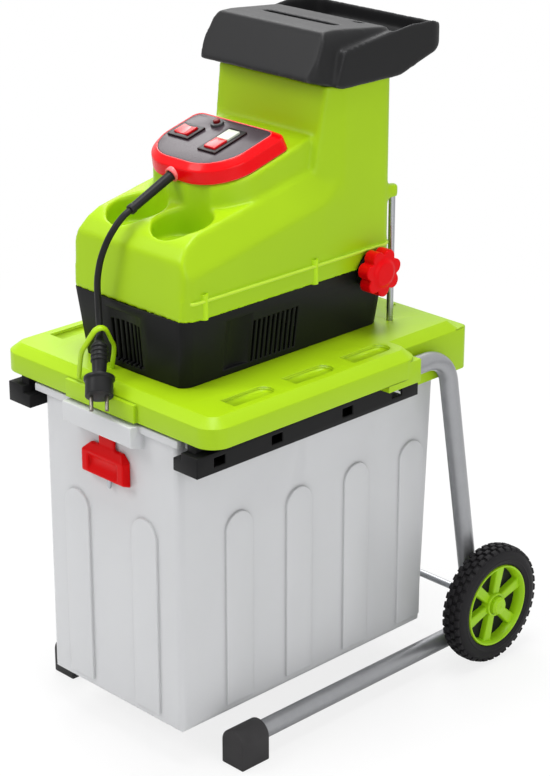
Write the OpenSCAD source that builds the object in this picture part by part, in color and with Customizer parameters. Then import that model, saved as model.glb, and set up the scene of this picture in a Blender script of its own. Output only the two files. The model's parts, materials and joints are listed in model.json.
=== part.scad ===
/* [Platform] */
// Width of the tray that carries the machine
platform_w = 400; // [380:1:430]
// Width of the narrower tail behind the side tubes
tail_w = 336; // [320:1:350]
// Distance of the tray's front skirt from the centre
platform_front = 295; // [288:1:308]
// Distance of the notch, where the tray narrows, behind the centre
notch_y = 74; // [66:1:82]
// Distance of the tray's rear wall behind the centre
platform_rear = 203; // [201:1:216]
// Height of the flat top above the floor
platform_top = 500; // [485:1:520]
// Height of the sloped crown round the top's edge
crown_h = 11; // [6:1:14]
// Depth of the skirt below the crown
skirt_h = 26; // [22:1:30]
// Depth of the tail block below the flat top
tail_h = 69; // [60:1:74]
// Wall of the tray
tray_wall = 4; // [3:0.5:5]
// Corner radius of the tray
tray_corner_r = 28; // [20:1:36]
// Corner radius of the tail
tail_corner_r = 12; // [8:1:20]

/* [Frame] */
// Outer diameter of a side tube
tube_d = 25; // [22:0.5:27]
// Wall of a side tube
tube_wall = 1.5; // [1:0.25:2.5]
// Distance of a side tube's socket from the centre plane
tube_x = 184; // [182:0.5:185]
// Distance of a side tube's floor leg from the centre plane
leg_x = 169; // [164:0.5:178]
// Depth of the tube's socket line below the platform's top
tube_drop = 31; // [29:0.5:33]
// Place of the upper bend's corner behind the centre
tube_bend_y = 140; // [130:1:150]
// Radius of a side tube's upper bend
bend_r = 50; // [40:1:56]
// Radius of a side tube's lower bend
low_bend_r = 36; // [28:1:38]
// Height of the lower leg above the floor
leg_z = 33; // [28:0.5:38]
// Length of a foot
foot_l = 48; // [40:1:56]
// Width of a foot
foot_w = 39; // [34:1:44]
// Distance of a foot's front face from the centre
foot_front = 237; // [225:1:248]

/* [Wheels] */
// Tyre outer diameter
tyre_d = 170; // [160:1:180]
// Tyre width
tyre_w = 34; // [28:1:38]
// Diameter of the hub that the tyre sits on
hub_d = 118; // [106:1:124]
// Number of spokes in a hub
hub_spokes = 6; // [5:1:8]
// Number of tread blocks round a tyre
tread_blocks = 34; // [20:1:44]
// Axle diameter
axle_d = 10; // [8:0.5:12]
// Distance of the axle behind the centre
axle_y = 221; // [216:1:226]
// Gap between a side tube and its wheel
wheel_gap = 6; // [4:1:12]

/* [Collection box] */
// Width of the box's body
box_w = 256; // [236:1:260]
// Gap under the box
box_floor_gap = 47; // [40:1:60]
// Distance of the box's front wall from the centre
box_front = 285; // [280:1:286]
// Rear wall's place behind the centre, at the bottom
box_rear_low = 166; // [156:1:176]
// Rear wall's place behind the centre, at the top
box_rear_top = 184; // [176:1:190]
// Wall of the box
box_wall = 3; // [2:0.25:4]
// Corner radius of the box
box_corner_r = 10; // [8:1:20]
// Rounding of the box's bottom edges
box_bottom_r = 12; // [8:1:16]
// Number of raised flutes on a side
side_flutes = 4; // [2:1:5]
// Width of a flute
flute_w = 46; // [30:1:56]
// How far a flute stands out
flute_out = 4; // [2:0.5:6]
// Width of the pull lip on the front
pull_w = 130; // [110:1:150]
// How far the pull lip reaches out
pull_out = 21; // [16:1:24]
// Depth of the pull lip
pull_h = 27; // [20:1:30]
// Width of the sliding latch
latch_w = 80; // [60:1:90]
// Height of the sliding latch
latch_h = 44; // [36:1:50]
// Travel of the latch from open to locked
latch_travel = 18; // [14:1:20]

/* [Housing] */
// Width of the motor housing at its foot
base_w = 190; // [184:1:196]
// Width of the motor housing at the parting line
parting_w = 212; // [206:1:216]
// Height of the parting line above the platform
lower_h = 90; // [84:1:96]
// Distance of the housing's front from the centre, at the foot
base_front = 243; // [238:1:248]
// Distance of the housing's front from the centre, at the parting line
parting_front = 251; // [249:1:256]
// Place of the housing's rear behind the centre
housing_rear = 116; // [114:1:120]
// Wall of the moulded shells
shell = 3.5; // [2.5:0.25:4]
// Height of the hood's front top edge above the parting line
hood_h = 96; // [90:1:102]
// Slope of the hood's top, in degrees
hood_slope = 11.6; // [9:0.1:13]
// Half width of the flat part of the hood's top
hood_flat = 90; // [84:1:94]
// Height of the tower above the parting line
tower_h = 249; // [240:1:260]
// Width of a cooling slot
vent_w = 4; // [3:0.25:5]
// Pitch of the cooling slots
vent_pitch = 8.2; // [7:0.1:10]
// Diameter of the two tool pockets
pocket_d = 76; // [60:1:80]
// Depth of the two tool pockets
pocket_h = 26; // [16:1:32]

/* [Control panel] */
// Width of the control bezel
bezel_w = 162; // [150:1:166]
// Length of the control bezel along its slope
bezel_l = 126; // [120:1:130]
// Height of the control bezel
bezel_h = 26; // [22:1:30]
// Tilt of the control bezel
bezel_tilt = 15.6; // [12:0.2:18]
// Width of the bezel's rim round the face plate
bezel_rim = 12; // [10:1:14]
// Travel of a push button
button_travel = 3; // [2:0.25:4]

/* [Feed hopper] */
// Width of the rear collar
collar_w = 224; // [220:1:232]
// Distance of the collar's rear wall behind the centre
collar_rear = 209; // [200:1:216]
// Height of the hopper's highest edge above the tower's top
hopper_h = 67; // [60:1:74]
// Wall of the hopper
hopper_wall = 4; // [3:0.5:5]
// Width of the feed chute
chute_w = 108; // [96:1:112]
// Length of the feed chute
chute_l = 62; // [56:1:64]

/* [Cutting unit] */
// Tip radius of the cutting roller
roller_r = 36; // [32:0.5:37]
// Number of teeth on the roller
roller_teeth = 8; // [6:1:10]
// Length of the toothed part
roller_l = 64; // [58:1:66]
// Roller shaft diameter
roller_shaft_d = 20; // [16:1:22]
// Gap between the roller's tips and the counter plate
cut_gap = 3; // [2.6:0.1:4]
// Gear module
gear_m = 1.5; // [1.4:0.05:1.55]
// Teeth of a pinion
pinion_teeth = 12; // [11:1:13]
// Teeth of a large gear
gear_teeth = 48; // [46:1:50]
// Diameter of the motor's case
motor_d = 96; // [88:1:100]
// Diameter of the adjuster knob
knob_d = 64; // [54:1:70]
// Number of lobes on the adjuster knob
knob_lobes = 7; // [5:1:9]

/* [Cord] */
// Diameter of the mains cord
cord_d = 8.5; // [7:0.5:10]

/* [Hidden] */
$fn = 64;

lime = [0.62, 0.80, 0.06];
black = [0.12, 0.12, 0.13];
dark_grey = [0.23, 0.23, 0.24];
pale_grey = [0.80, 0.81, 0.82];
red = [0.86, 0.05, 0.06];
steel = [0.68, 0.69, 0.71];

over = 1;
seat_gap = 0.15;
slide_gap = 0.3;
run_gap = 0.05;
skin = 0.02;

edge_z = platform_top - crown_h;
skirt_z = edge_z - skirt_h;
tail_z = platform_top - tail_h;
under_z = edge_z - tray_wall;
crown_w = 14;
bulge_out = 5;
tube_z = platform_top - tube_drop;
socket_w = 31;
socket_l = 60;
socket_end = 5;

wheel_r = tyre_d/2;
splay = atan2(tube_x - leg_x, tube_z - leg_z);
leg_drop = (tube_z - leg_z)/cos(splay);
axle_drop = (tube_z - wheel_r)/cos(splay);
wheel_in = tube_x - (tube_z - wheel_r)*tan(splay) + tube_d/2 + wheel_gap;
wheel_out = wheel_in + tyre_w;
lean = atan2(axle_y - tube_bend_y, axle_drop);
low_corner_y = tube_bend_y + leg_drop*tan(lean);
upper_centre = [tube_bend_y - bend_r*tan((90 - lean)/2), -bend_r];
lower_centre = [low_corner_y - low_bend_r*tan((90 + lean)/2), low_bend_r - leg_drop];
leg_top = upper_centre + bend_r*[cos(lean), sin(lean)];
leg_foot = lower_centre + low_bend_r*[cos(lean), sin(lean)];
foot_depth = 30;
bend_in = 0.2;
bend_lap = 0.5;

box_top = skirt_z - 4;
box_lean = atan2(box_rear_top - box_rear_low, box_top - box_floor_gap);
rail_low = skirt_z - 38;
ledge_z = skirt_z - 21;
rail_top = skirt_z - 11;
rail_out = tube_x - 4;
rail_in = 151;
ledge_in = 137;
rail_front = platform_front + 6;
lip_out = rail_in - 1.5;
lip_z = ledge_z + slide_gap;
flute_pitch = 107;
flute_low = box_floor_gap + 16;
flute_top = box_floor_gap + 284;
latch_low = box_top - 94;
latch_deep = 13;
tongue_w = 30;
tongue_t = 4;
slot_gap = 0.5;

parting_z = platform_top + lower_h;
hood_top = parting_z + hood_h;
tower_top = parting_z + tower_h;
front_bulge = 4;
house_corner_r = 20;
flange_h = 23;
flange_out = 2.5;
screw_x = parting_w/2 - 5.5;
tower_front = -18;
tower_w = 210;
tower_face_w = 184;
tower_cham_y = 24;
knob_y = 73;
knob_z = parting_z - 5;
rod_d = 9;
rod_x = 98;
rod_y = housing_rear + 7;
rod_top = parting_z + 94;
chip_w = 120;

pocket_x = 42;
pocket_y = -194;
bezel_y = -166;
bezel_z = hood_top + 45;
bezel_r = 62;
plate_t = 3;
bezel_wall = 3;
sleeve_d = 13;
seat_w = bezel_w + 8;
plate_rise = bezel_h - plate_t - 1;

hood_front_y = -36;
hood_ridge_y = -4;
hood_back_y = 110;
hopper_top = tower_top + hopper_h;
chute_y = 57;
chip_front = chute_y - 37;
chip_rear = chute_y + 31;

roller_x = -20;
roller_z = knob_z;
gear_step = gear_m*(pinion_teeth + gear_teeth)/2;
middle_x = roller_x + gear_step*cos(120);
middle_z = roller_z + gear_step*sin(120);
motor_x = middle_x + gear_step*cos(-25);
motor_z = middle_z + gear_step*sin(-25);
gear_w = 14;
roller_y = chute_y - roller_l/2;
roller_gear_y = roller_y - 37;
motor_gear_y = roller_gear_y - 20;
frame_t = 10;
frame_front_y = roller_y - 8 - frame_t;
frame_rear_y = roller_y + roller_l + 4;
bearing_d = 42;
shaft_run = roller_shaft_d + 2*run_gap;
counter_x = roller_x + roller_r + cut_gap;
counter_t = 12;
counter_l = roller_l - 2;
screw_d = 12;
boss_d = 46;
boss_x = parting_w/2 - 8;
knob_x = parting_w/2 + 9;
knob_t = 18;
motor_front = -186;
motor_back = motor_gear_y - 8;

// Cord: the sleeve's two ends, the plug's two ends and the route between them
sleeve_start = [-5, bezel_y - 2, bezel_z + 7];
sleeve_mouth = [-9, bezel_y - 68, bezel_z - 26];
plug_neck = [-18, 14 - platform_front, platform_top + 49];
plug_foot = [24, -platform_front - 24, platform_top - 7];

// Places on the route: x, distance behind the tray's front edge, share of the drop still to go
cord_bends = [[-11, 44.5, 0.928], [-13.5, 37.5, 0.868], [-17.5, 32.5, 0.796], [-21.5, 29, 0.717],
    [-25.5, 26.5, 0.632], [-29, 25.5, 0.545], [-31.5, 25, 0.455], [-33, 25.5, 0.365],
    [-33, 26, 0.279], [-32, 25.5, 0.196], [-29, 23.5, 0.12]];
cord_points = concat(
    [sleeve_mouth, sleeve_mouth + unit(sleeve_mouth - sleeve_start)*9.5],
    [for (p = cord_bends) [p[0], p[1] - platform_front,
        plug_neck[2] + p[2]*(sleeve_mouth[2] - plug_neck[2])]],
    [plug_neck - unit(plug_foot - plug_neck)*12, plug_neck]);

function unit(v) = v/norm(v);

module both_sides() {
    children();
    mirror([1, 0, 0]) children();
}

// Rectangle between two Y lines with round corners
module round_plan(half_w, y0, y1, r) {
    translate([r - half_w, y0]) square([2*half_w - 2*r, y1 - y0]);
    translate([-half_w, y0 + r]) square([2*half_w, y1 - y0 - 2*r]);
    for (x = [r - half_w, half_w - r], y = [y0 + r, y1 - r]) translate([x, y]) circle(r);
}

// The same with square front corners
module tail_round_plan(half_w, y0, y1, r) {
    translate([-half_w, y0]) square([2*half_w, y1 - y0 - r]);
    translate([r - half_w, y0]) square([2*half_w - 2*r, y1 - y0]);
    for (x = [r - half_w, half_w - r]) translate([x, y1 - r]) circle(r);
}

// The same with square rear corners
module front_round_plan(half_w, y0, y1, r) {
    mirror([0, 1]) tail_round_plan(half_w, -y1, -y0, r);
}

// Extrudes a Y-Z outline along X, centred on the middle plane
module across(w) {
    rotate([90, 0, 90]) linear_extrude(w, center = true) children();
}

// Lays a cylinder along X from x0 to x1
module x_rod(x0, x1, y, z, d) {
    translate([x0, y, z]) rotate([0, 90, 0]) cylinder(d = d, h = x1 - x0);
}

// Lays a cylinder along Y from y0 to y1
module y_rod(y0, y1, x, z, d) {
    translate([x, y0, z]) rotate([-90, 0, 0]) cylinder(d = d, h = y1 - y0);
}

// Platform and rails

module tray_plan(t) {
    round_plan(platform_w/2 - t, t - platform_front, notch_y - t, tray_corner_r - t);
}

module tail_plan(t) {
    tail_round_plan(tail_w/2 - t, notch_y - tray_wall - 3*t, platform_rear - t, max(tail_corner_r - t, 2));
}

module crown(t) {
    hull() {
        translate([0, 0, edge_z - t]) linear_extrude(skin) children(0);
        translate([0, 0, platform_top - t - skin]) linear_extrude(skin) children(1);
    }
}

module tray_body(t, below) {
    translate([0, 0, skirt_z - below]) linear_extrude(edge_z - t - skirt_z + below + skin) tray_plan(t);
    translate([0, 0, tail_z - below]) linear_extrude(edge_z - t - tail_z + below + skin) tail_plan(t);
    crown(t) { tray_plan(t); tray_plan(t + crown_w); }
    crown(t) {
        translate([0, -crown_w]) tail_plan(t);
        translate([0, -crown_w]) tail_plan(t + crown_w);
    }
}

// Sunken finger-shaped panels in the top, round at the rear end
module top_recess(x, y0, y1, w) {
    translate([x, 0, platform_top - 1.5]) linear_extrude(over + 1.5) {
        translate([-w/2, y0]) square([w, y1 - y0 - w/2]);
        translate([0, y1 - w/2]) circle(w/2);
    }
}

module tube_socket() {
    translate([tube_x - socket_w/2, notch_y - socket_l, tube_z - socket_w/2])
        cube([socket_w, socket_l - skin, under_z - tube_z + socket_w/2 + skin]);
}

// Thicker part of the skirt above the box's pull
module skirt_bulge() translate([-pull_w/2, -platform_front - bulge_out, skirt_z])
    cube([pull_w, bulge_out + tray_wall, edge_z - skirt_z - 2]);

module platform() color(lime) difference() {
    union() {
        difference() {
            tray_body(0, 0);
            tray_body(tray_wall, over);
        }
        both_sides() tube_socket();
        skirt_bulge();
        both_sides() for (y = [-210, -140, -70]) translate([rail_in + 16, y, under_z - 8])
            cube([platform_w/2 - tray_wall - rail_in - 15, 3, 8 + skin]);
    }
    translate([-chip_w/2, chip_front, edge_z - 2*tray_wall])
        cube([chip_w, chip_rear - chip_front, crown_h + 3*tray_wall]);
    both_sides() {
        for (y = [-234, -130, -26]) top_recess(platform_w/2 - 38, y, y + 74, 26);
        y_rod(notch_y - socket_l + socket_end, notch_y + over, tube_x, tube_z, tube_d + 2*seat_gap);
        translate([rod_x, rod_y, platform_top - tray_wall - over])
            cylinder(d = rod_d + 2*seat_gap, h = tray_wall + 2*over);
        translate([60, platform_rear - 48, platform_top - 2]) cube([6, 30, 2 + over]);
    }
}

module rail_outline(with_ledge) {
    translate([rail_in, rail_low]) square([rail_out - rail_in, rail_top - rail_low]);
    if (with_ledge) translate([ledge_in, rail_low]) square([rail_in - ledge_in + over, ledge_z - rail_low]);
}

module guide_rail() difference() {
    union() {
        translate([0, notch_y + 17, 0]) rotate([90, 0, 0])
            linear_extrude(notch_y + 17 + rail_front) rail_outline(true);
        translate([rail_in, tray_wall + slide_gap - platform_front, rail_top - over])
            cube([15, platform_front + notch_y - 2*tray_wall - 2*slide_gap, under_z - rail_top + over]);
        translate([rail_in, tray_wall + crown_w + over - platform_front, rail_top - over])
            cube([15, platform_front + notch_y - 2*(tray_wall + crown_w + over),
                platform_top - tray_wall - rail_top + over]);
    }
    // room for the tail's side wall
    translate([ledge_in - over, notch_y - tray_wall - slide_gap, rail_low - over])
        cube([tail_w/2 + slide_gap - ledge_in + over, 40, 90]);
    translate([rail_in + 4, 6 - rail_front, rail_low + 4])
        cube([rail_out - rail_in - 8, notch_y + rail_front - 2, rail_top - rail_low - 8]);
    translate([ledge_in + 3, 12 - rail_front, rail_low - over])
        cube([rail_in - ledge_in - 5, notch_y + rail_front - 8, ledge_z - rail_low - 3]);
    for (y = [-273, -176, -51, 41]) translate([rail_out - 5, y, rail_low + 8]) cube([5 + over, 19, 12]);
    translate([0, notch_y + 17, rail_low]) rotate([-28, 0, 0])
        translate([ledge_in - over, 0, -40]) cube([rail_out - ledge_in + 2*over, 40, 90]);
}

module guide_rail_right() color(black) guide_rail();

module guide_rail_left() color(black) mirror([1, 0, 0]) guide_rail();

// Side frame and wheels

module tube_bend(centre, turn_r, from_deg, sweep, r) {
    translate([0, centre[0], centre[1]]) rotate([90, 0, 90]) rotate([0, 0, from_deg])
        rotate_extrude(angle = sweep) translate([turn_r, 0]) circle(r);
}

// Solid of radius r on the tube's line: socket end, upper bend, leaning leg, lower bend and floor leg
// The bends are a hair thinner and end inside the straight parts
module tube_core(r, longer) {
    y_rod(notch_y - socket_l + socket_end + slide_gap - longer, upper_centre[0] + bend_lap, 0, 0, 2*r);
    tube_bend(upper_centre, bend_r, lean, 90 - lean, r - bend_in);
    translate([0, leg_foot[0], leg_foot[1]]) rotate([lean, 0, 0]) translate([0, 0, -bend_lap])
        cylinder(r = r, h = norm(leg_top - leg_foot) + 2*bend_lap);
    tube_bend(lower_centre, low_bend_r, -90, 90 + lean, r - bend_in);
    y_rod(foot_l - foot_front - foot_depth - longer, lower_centre[0] + bend_lap, 0, -leg_drop, 2*r);
}

// The tube's plane leans inwards about its socket line
module side_tube() difference() {
    translate([tube_x, 0, tube_z]) rotate([0, splay, 0]) difference() {
        tube_core(tube_d/2, 0);
        tube_core(tube_d/2 - tube_wall, over);
    }
    x_rod(leg_x - tube_d, tube_x + tube_d, axle_y, wheel_r, axle_d + 2*seat_gap);
}

module side_tube_right() color(steel) side_tube();

module side_tube_left() color(steel) mirror([1, 0, 0]) side_tube();

module foot() difference() {
    translate([leg_x, -foot_front, 0]) rotate([-90, 0, 0]) rotate([0, 0, 180]) linear_extrude(foot_l) {
        translate([-foot_w/2, 0]) square([foot_w, leg_z]);
        translate([0, leg_z]) circle(d = foot_w);
    }
    y_rod(foot_l - foot_front - foot_depth - slide_gap, foot_l - foot_front + over, leg_x, leg_z,
        tube_d + 2*seat_gap);
    for (x = [-8, 8]) translate([leg_x + x - 4, 8 - foot_front, -over]) cube([8, foot_l - 16, 7]);
}

module foot_right() color(black) foot();

module foot_left() color(black) mirror([1, 0, 0]) foot();

module axle() color(steel) x_rod(-wheel_out - 3, wheel_out + 3, axle_y, wheel_r, axle_d);

// Pressed caps that keep the wheels on the axle
module axle_caps() color(lime) both_sides() difference() {
    translate([wheel_out - 7.5, axle_y, wheel_r]) rotate([0, 90, 0]) rotate_extrude()
        polygon([[0, 0], [13, 0], [13, 8], [10, 11.5], [0, 12]]);
    x_rod(wheel_out - 7.5 - over, wheel_out + 3 + slide_gap, axle_y, wheel_r, axle_d + 2*seat_gap);
}

// Ring of tread blocks, one of two rows set half a pitch apart
module tread_row(turn) rotate([0, 0, turn]) linear_extrude(tyre_w/2 - 4) difference() {
    circle(wheel_r);
    circle(wheel_r - 7);
    for (i = [0 : tread_blocks - 1]) rotate([0, 0, i*360/tread_blocks])
        translate([wheel_r - 3.5, -2]) square([5, 4]);
}

module tyre_solid() {
    rotate_extrude() polygon([[hub_d/2, 4], [hub_d/2 + 6, 1], [wheel_r - 10, 0], [wheel_r - 3, 2.5],
        [wheel_r - 3, tyre_w - 2.5], [wheel_r - 10, tyre_w], [hub_d/2 + 6, tyre_w - 1], [hub_d/2,
            tyre_w - 4]]);
    translate([0, 0, 3.5]) tread_row(0);
    translate([0, 0, tyre_w/2 + 0.5]) tread_row(180/tread_blocks);
}

module hub_solid() difference() {
    union() {
        rotate_extrude() polygon([[hub_d/2 - 9, 5], [hub_d/2 - seat_gap, 5], [hub_d/2 - seat_gap, tyre_w - 3],
            [hub_d/2 - 4, tyre_w - 1], [hub_d/2 - 9, tyre_w - 4]]);
        cylinder(d = 34, h = tyre_w - 4);
        for (i = [0 : hub_spokes - 1]) rotate([0, 0, i*360/hub_spokes + 30]) translate([0, 0, 8])
            linear_extrude(tyre_w - 15) polygon([[12, -8], [hub_d/2 - 8, -12], [hub_d/2 - 8, 12], [12, 8]]);
    }
    translate([0, 0, -over]) cylinder(d = axle_d + 2*run_gap, h = tyre_w + 2*over);
    translate([0, 0, tyre_w - 8]) cylinder(d = 27, h = 9);
    for (i = [0 : hub_spokes - 1]) rotate([0, 0, i*360/hub_spokes + 30]) translate([18, -4, tyre_w - 10])
        cube([hub_d/2 - 32, 8, 4]);
}

module on_axle() translate([wheel_in, axle_y, wheel_r]) rotate([0, 90, 0]) children();

module tyre_right() color(black) on_axle() tyre_solid();

module hub_right() color(lime) on_axle() hub_solid();

module tyre_left() color(black) mirror([1, 0, 0]) on_axle() tyre_solid();

module hub_left() color(lime) mirror([1, 0, 0]) on_axle() hub_solid();

// Collection box, its latch and the interlock

// Box body: an upright front part and a leaning rear part, rounded along the bottom edges
module box_body(t, top) intersection() {
    union() {
        translate([0, 0, box_floor_gap]) linear_extrude(box_top)
            front_round_plan(box_w/2 - t, t - box_front, 100, box_corner_r - t);
        translate([0, box_rear_low, box_floor_gap]) rotate([-box_lean, 0, 0]) translate([0,
            -box_rear_low, -40])
            linear_extrude(box_top) tail_round_plan(box_w/2 - t, 0, box_rear_low - t, box_corner_r - t);
    }
    rotate([90, 0, 0]) linear_extrude(1200, center = true)
        front_round_plan(box_w/2 - t, box_floor_gap + t, top, box_bottom_r - t);
    across(box_w + 20) box_side(t, top);
}

module box_side(t, top) {
    r = box_bottom_r - t;
    z = box_floor_gap + t;
    rear = box_rear_low - t + (t + r)*tan(box_lean);
    translate([t - box_front + r, z]) square([box_front + rear - t - 2*r, r + over]);
    translate([t - box_front, z + r]) square([box_front + box_rear_top + 40, top - z - r]);
    for (y = [t - box_front + r, rear - r]) translate([y, z + r]) circle(r);
}

// Raised flute with an arched top, drawn on the wall it stands on
module flute_shape(w, z0, z1) {
    translate([-w/2, z0]) square([w, z1 - z0 - w/2]);
    translate([0, z1 - w/2]) circle(d = w);
}

// All flutes, grown by t on every side and by deep behind the wall
module flutes(t, deep) both_sides() {
    for (i = [0 : side_flutes - 1]) translate([box_w/2 - deep, (i - (side_flutes - 1)/2)*flute_pitch - 25, 0])
        rotate([90, 0, 90]) linear_extrude(flute_out + t + deep)
            flute_shape(flute_w + 2*t, flute_low - t, flute_top + t);
    translate([pull_w/2, deep - box_front, 0]) rotate([90, 0, 0]) linear_extrude(flute_out + t + deep)
        flute_shape(flute_w + 2*t, flute_low - t, flute_top + t);
}

module pull_lip() {
    y0 = -box_front - pull_out;
    translate([-pull_w/2, y0, box_top - pull_h]) cube([pull_w, 4, pull_h]);
    translate([-pull_w/2, y0, box_top - 5]) cube([pull_w, pull_out + 2, 5]);
    for (x = [-pull_w/2, pull_w/2 - 4]) translate([x, 0, 0]) across_lip();
    translate([-ledge_in + 1, -box_front - 8, box_top - 10]) cube([2*ledge_in - 2, 10, 10]);
}

module across_lip() rotate([90, 0, 90]) linear_extrude(4)
    polygon([[-box_front - pull_out, box_top], [-box_front - pull_out, box_top - pull_h],
        [-box_front + 2, box_top - pull_h - 8], [-box_front + 2, box_top]]);

module collection_box() color(pale_grey) difference() {
    union() {
        box_body(0, box_top);
        flutes(0, 2);
        both_sides() translate([box_w/2 - 2, 12 - box_front, lip_z])
            cube([lip_out - box_w/2 + 2, box_front + box_rear_top - 40, 10]);
        pull_lip();
    }
    box_body(box_wall, box_top + over);
    flutes(-box_wall, box_wall + over);
    translate([-4.4, -box_front - over, latch_low + 3.6]) cube([8.8, box_wall + 2*over, latch_travel + 8.8]);
    translate([-tongue_w/2 - slot_gap, -box_front - tongue_t - 1.5 - slot_gap, box_top - 20])
        cube([tongue_w + 2*slot_gap, tongue_t + 2*slot_gap, 20 + over]);
}

module box_latch() color(red) difference() {
    y0 = -box_front - slide_gap;
    union() {
        translate([-latch_w/2, 0, 0]) rotate([90, 0, 90]) linear_extrude(latch_w)
            polygon([[y0, latch_low], [y0 - latch_deep, latch_low + 5], [y0 - latch_deep,
                latch_low + latch_h - 9],
                [y0 - latch_deep + 7, latch_low + latch_h], [y0, latch_low + latch_h]]);
        translate([-tongue_w/2, y0 - 1.2 - tongue_t, latch_low + latch_h - over])
            cube([tongue_w, tongue_t, box_top - 2 - latch_low - latch_h + over]);
        translate([-4, y0 - over, latch_low + 4]) cube([8, box_wall + slide_gap + 2*over, 8]);
        translate([-9, box_wall + slide_gap - box_front, latch_low]) cube([18, 3, 16]);
    }
    translate([0, y0 - latch_deep - 12, latch_low + latch_h/2 - 2]) rotate([0, 90, 0])
        cylinder(r = 17, h = latch_w - 24, center = true);
    both_sides() translate([latch_w/2, y0 - latch_deep, latch_low + latch_h]) rotate([0, 45, 0])
        cube([14, 60, 14], center = true);
}

module interlock_switch() color(black) {
    difference() {
        translate([-20, tray_wall + slide_gap - platform_front, box_top + latch_travel + 1])
            cube([40, 16, under_z - box_top - latch_travel - 1]);
        for (x = [-14, 14]) y_rod(-platform_front, 30 - platform_front, x, under_z - 5, 3.2);
    }
}

// Motor housing, hood and tower

// Housing plan with a gently bowed front
module house_plan(half_w, front, rear, r) {
    bow_r = (half_w*half_w + front_bulge*front_bulge)/(2*front_bulge);
    intersection() {
        round_plan(half_w, -front - front_bulge, rear, r);
        translate([0, bow_r - front - front_bulge]) circle(bow_r, $fn = 200);
    }
}

module lower_body(t, top, low) hull() {
    translate([0, 0, low]) linear_extrude(skin)
        house_plan(base_w/2 - t, base_front - t, housing_rear - 8 - t, house_corner_r - t);
    translate([0, 0, top - skin]) linear_extrude(skin)
        house_plan(parting_w/2 - t, parting_front - t, housing_rear - t, house_corner_r - t);
}

module vent_row(count) for (i = [0 : count - 1])
    translate([(i - (count - 1)/2)*vent_pitch - vent_w/2, 0]) square([vent_w, 56]);

module adjuster_hole() x_rod(boss_x - 2*over, parting_w/2 + 8, knob_y, knob_z, boss_d + 2*seat_gap);

// Hollows in front of the grilles; t thickens them into the wall behind
module dishes(t) {
    translate([-5, -base_front - 88, platform_top + 4 - t]) rotate([5, 0, 0])
        cylinder(r = 90 + t, h = lower_h - 22 + 2*t);
    both_sides() translate([base_w/2 + 37, -157, platform_top + 4 - t]) rotate([0, 7, 0])
        cylinder(r = 43 + t, h = lower_h - 22 + 2*t);
}

module lower_housing() color(black) difference() {
    union() {
        difference() {
            lower_body(0, parting_z, platform_top);
            lower_body(shell, parting_z + over, platform_top + shell);
        }
        intersection() {
            lower_body(0, parting_z, platform_top);
            dishes(shell);
        }
        // cradle of the motor
        for (x = [motor_x - 32, motor_x + 27], y = [motor_front + 26, motor_back - 40])
            translate([x, y, platform_top + skin]) cube([5, 8, motor_z - motor_d*0.25 - platform_top]);
        both_sides() for (y = lug_ys) translate([parting_w/2 - 9, y - 5, parting_z - 16]) cube([7, 10, 16]);
    }
    dishes(0);
    y_rod(motor_front, motor_back, motor_x, motor_z, motor_d + 2*seat_gap);
    translate([-chip_w/2, chip_front, platform_top - over]) cube([chip_w, chip_rear - chip_front,
        shell + 2*over]);
    translate([-5, -base_front + 14, platform_top + 8]) rotate([90, 0, 0]) linear_extrude(40) vent_row(7);
    both_sides() {
        translate([base_w/2 - 14, -93, platform_top + 8]) rotate([90, 0, 90]) linear_extrude(40) vent_row(10);
        for (y = lug_ys) translate([screw_x, y, parting_z - 12]) cylinder(d = 4.4, h = 20);
    }
    adjuster_hole();
}

// Everything below the sloped top and its two leaning shoulders
module hood_roof(t) {
    y0 = -parting_front + 10;
    translate([0, y0, hood_top]) rotate([hood_slope, 0, 0]) translate([0, 260, 0]) rotate([90, 0, 0])
        linear_extrude(400) polygon([[-hood_flat + t, -t], [hood_flat - t, -t], [parting_w/2 - t, -42],
            [parting_w/2 - t, -300], [t - parting_w/2, -300], [t - parting_w/2, -42]]);
}

// Everything behind the leaning front face, with a rounded top edge
module hood_front(t) across(parting_w + 20) {
    r = 22;
    polygon([[t - parting_front - front_bulge, parting_z - 60], [t - parting_front + 4, hood_top - r],
        [t - parting_front + 10 + r*0.3, hood_top - r*0.25 - t], [r + 14 - parting_front, hood_top + 6 - t],
        [10, tower_top], [10, parting_z - 60]]);
}

module hood_body(t, low) intersection() {
    translate([0, 0, low]) linear_extrude(tower_h)
        house_plan(parting_w/2 - t, parting_front - t, 10, house_corner_r - t);
    hood_roof(t);
    hood_front(t);
}

// Tower with leaning front face and chamfered front edges
module tower_plan(t) intersection() {
    tail_round_plan(tower_w/2 - t, -60, housing_rear - t, 14);
    polygon([[-tower_face_w/2 + t, tower_front - 60], [tower_face_w/2 - t, tower_front - 60],
        [tower_face_w/2 - t, tower_front], [tower_w/2 - t, tower_cham_y], [tower_w/2 - t, housing_rear + 9],
        [t - tower_w/2, housing_rear + 9], [t - tower_w/2, tower_cham_y], [t - tower_face_w/2, tower_front]]);
}

module tower_front_cut(t) across(tower_w + 20)
    polygon([[tower_front + t, parting_z - 5], [tower_front + t, hood_top + 40],
        [tower_front + 18 + t, tower_top + 5], [300, tower_top + 5], [300, parting_z - 5]]);

module tower_body(t, low, top) intersection() {
    translate([0, 0, low]) linear_extrude(top - low) tower_plan(t);
    tower_front_cut(t);
}

// Outline of the control bezel in its own tilted plane
module bezel_plan(t) {
    front_round_plan(bezel_w/2 - t, t, bezel_l/2, bezel_r - t);
    tail_round_plan(bezel_w/2 - t, bezel_l/2 - over, bezel_l - t, 12);
}

module on_panel() translate([0, bezel_y, bezel_z]) rotate([bezel_tilt, 0, 0]) children();

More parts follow.
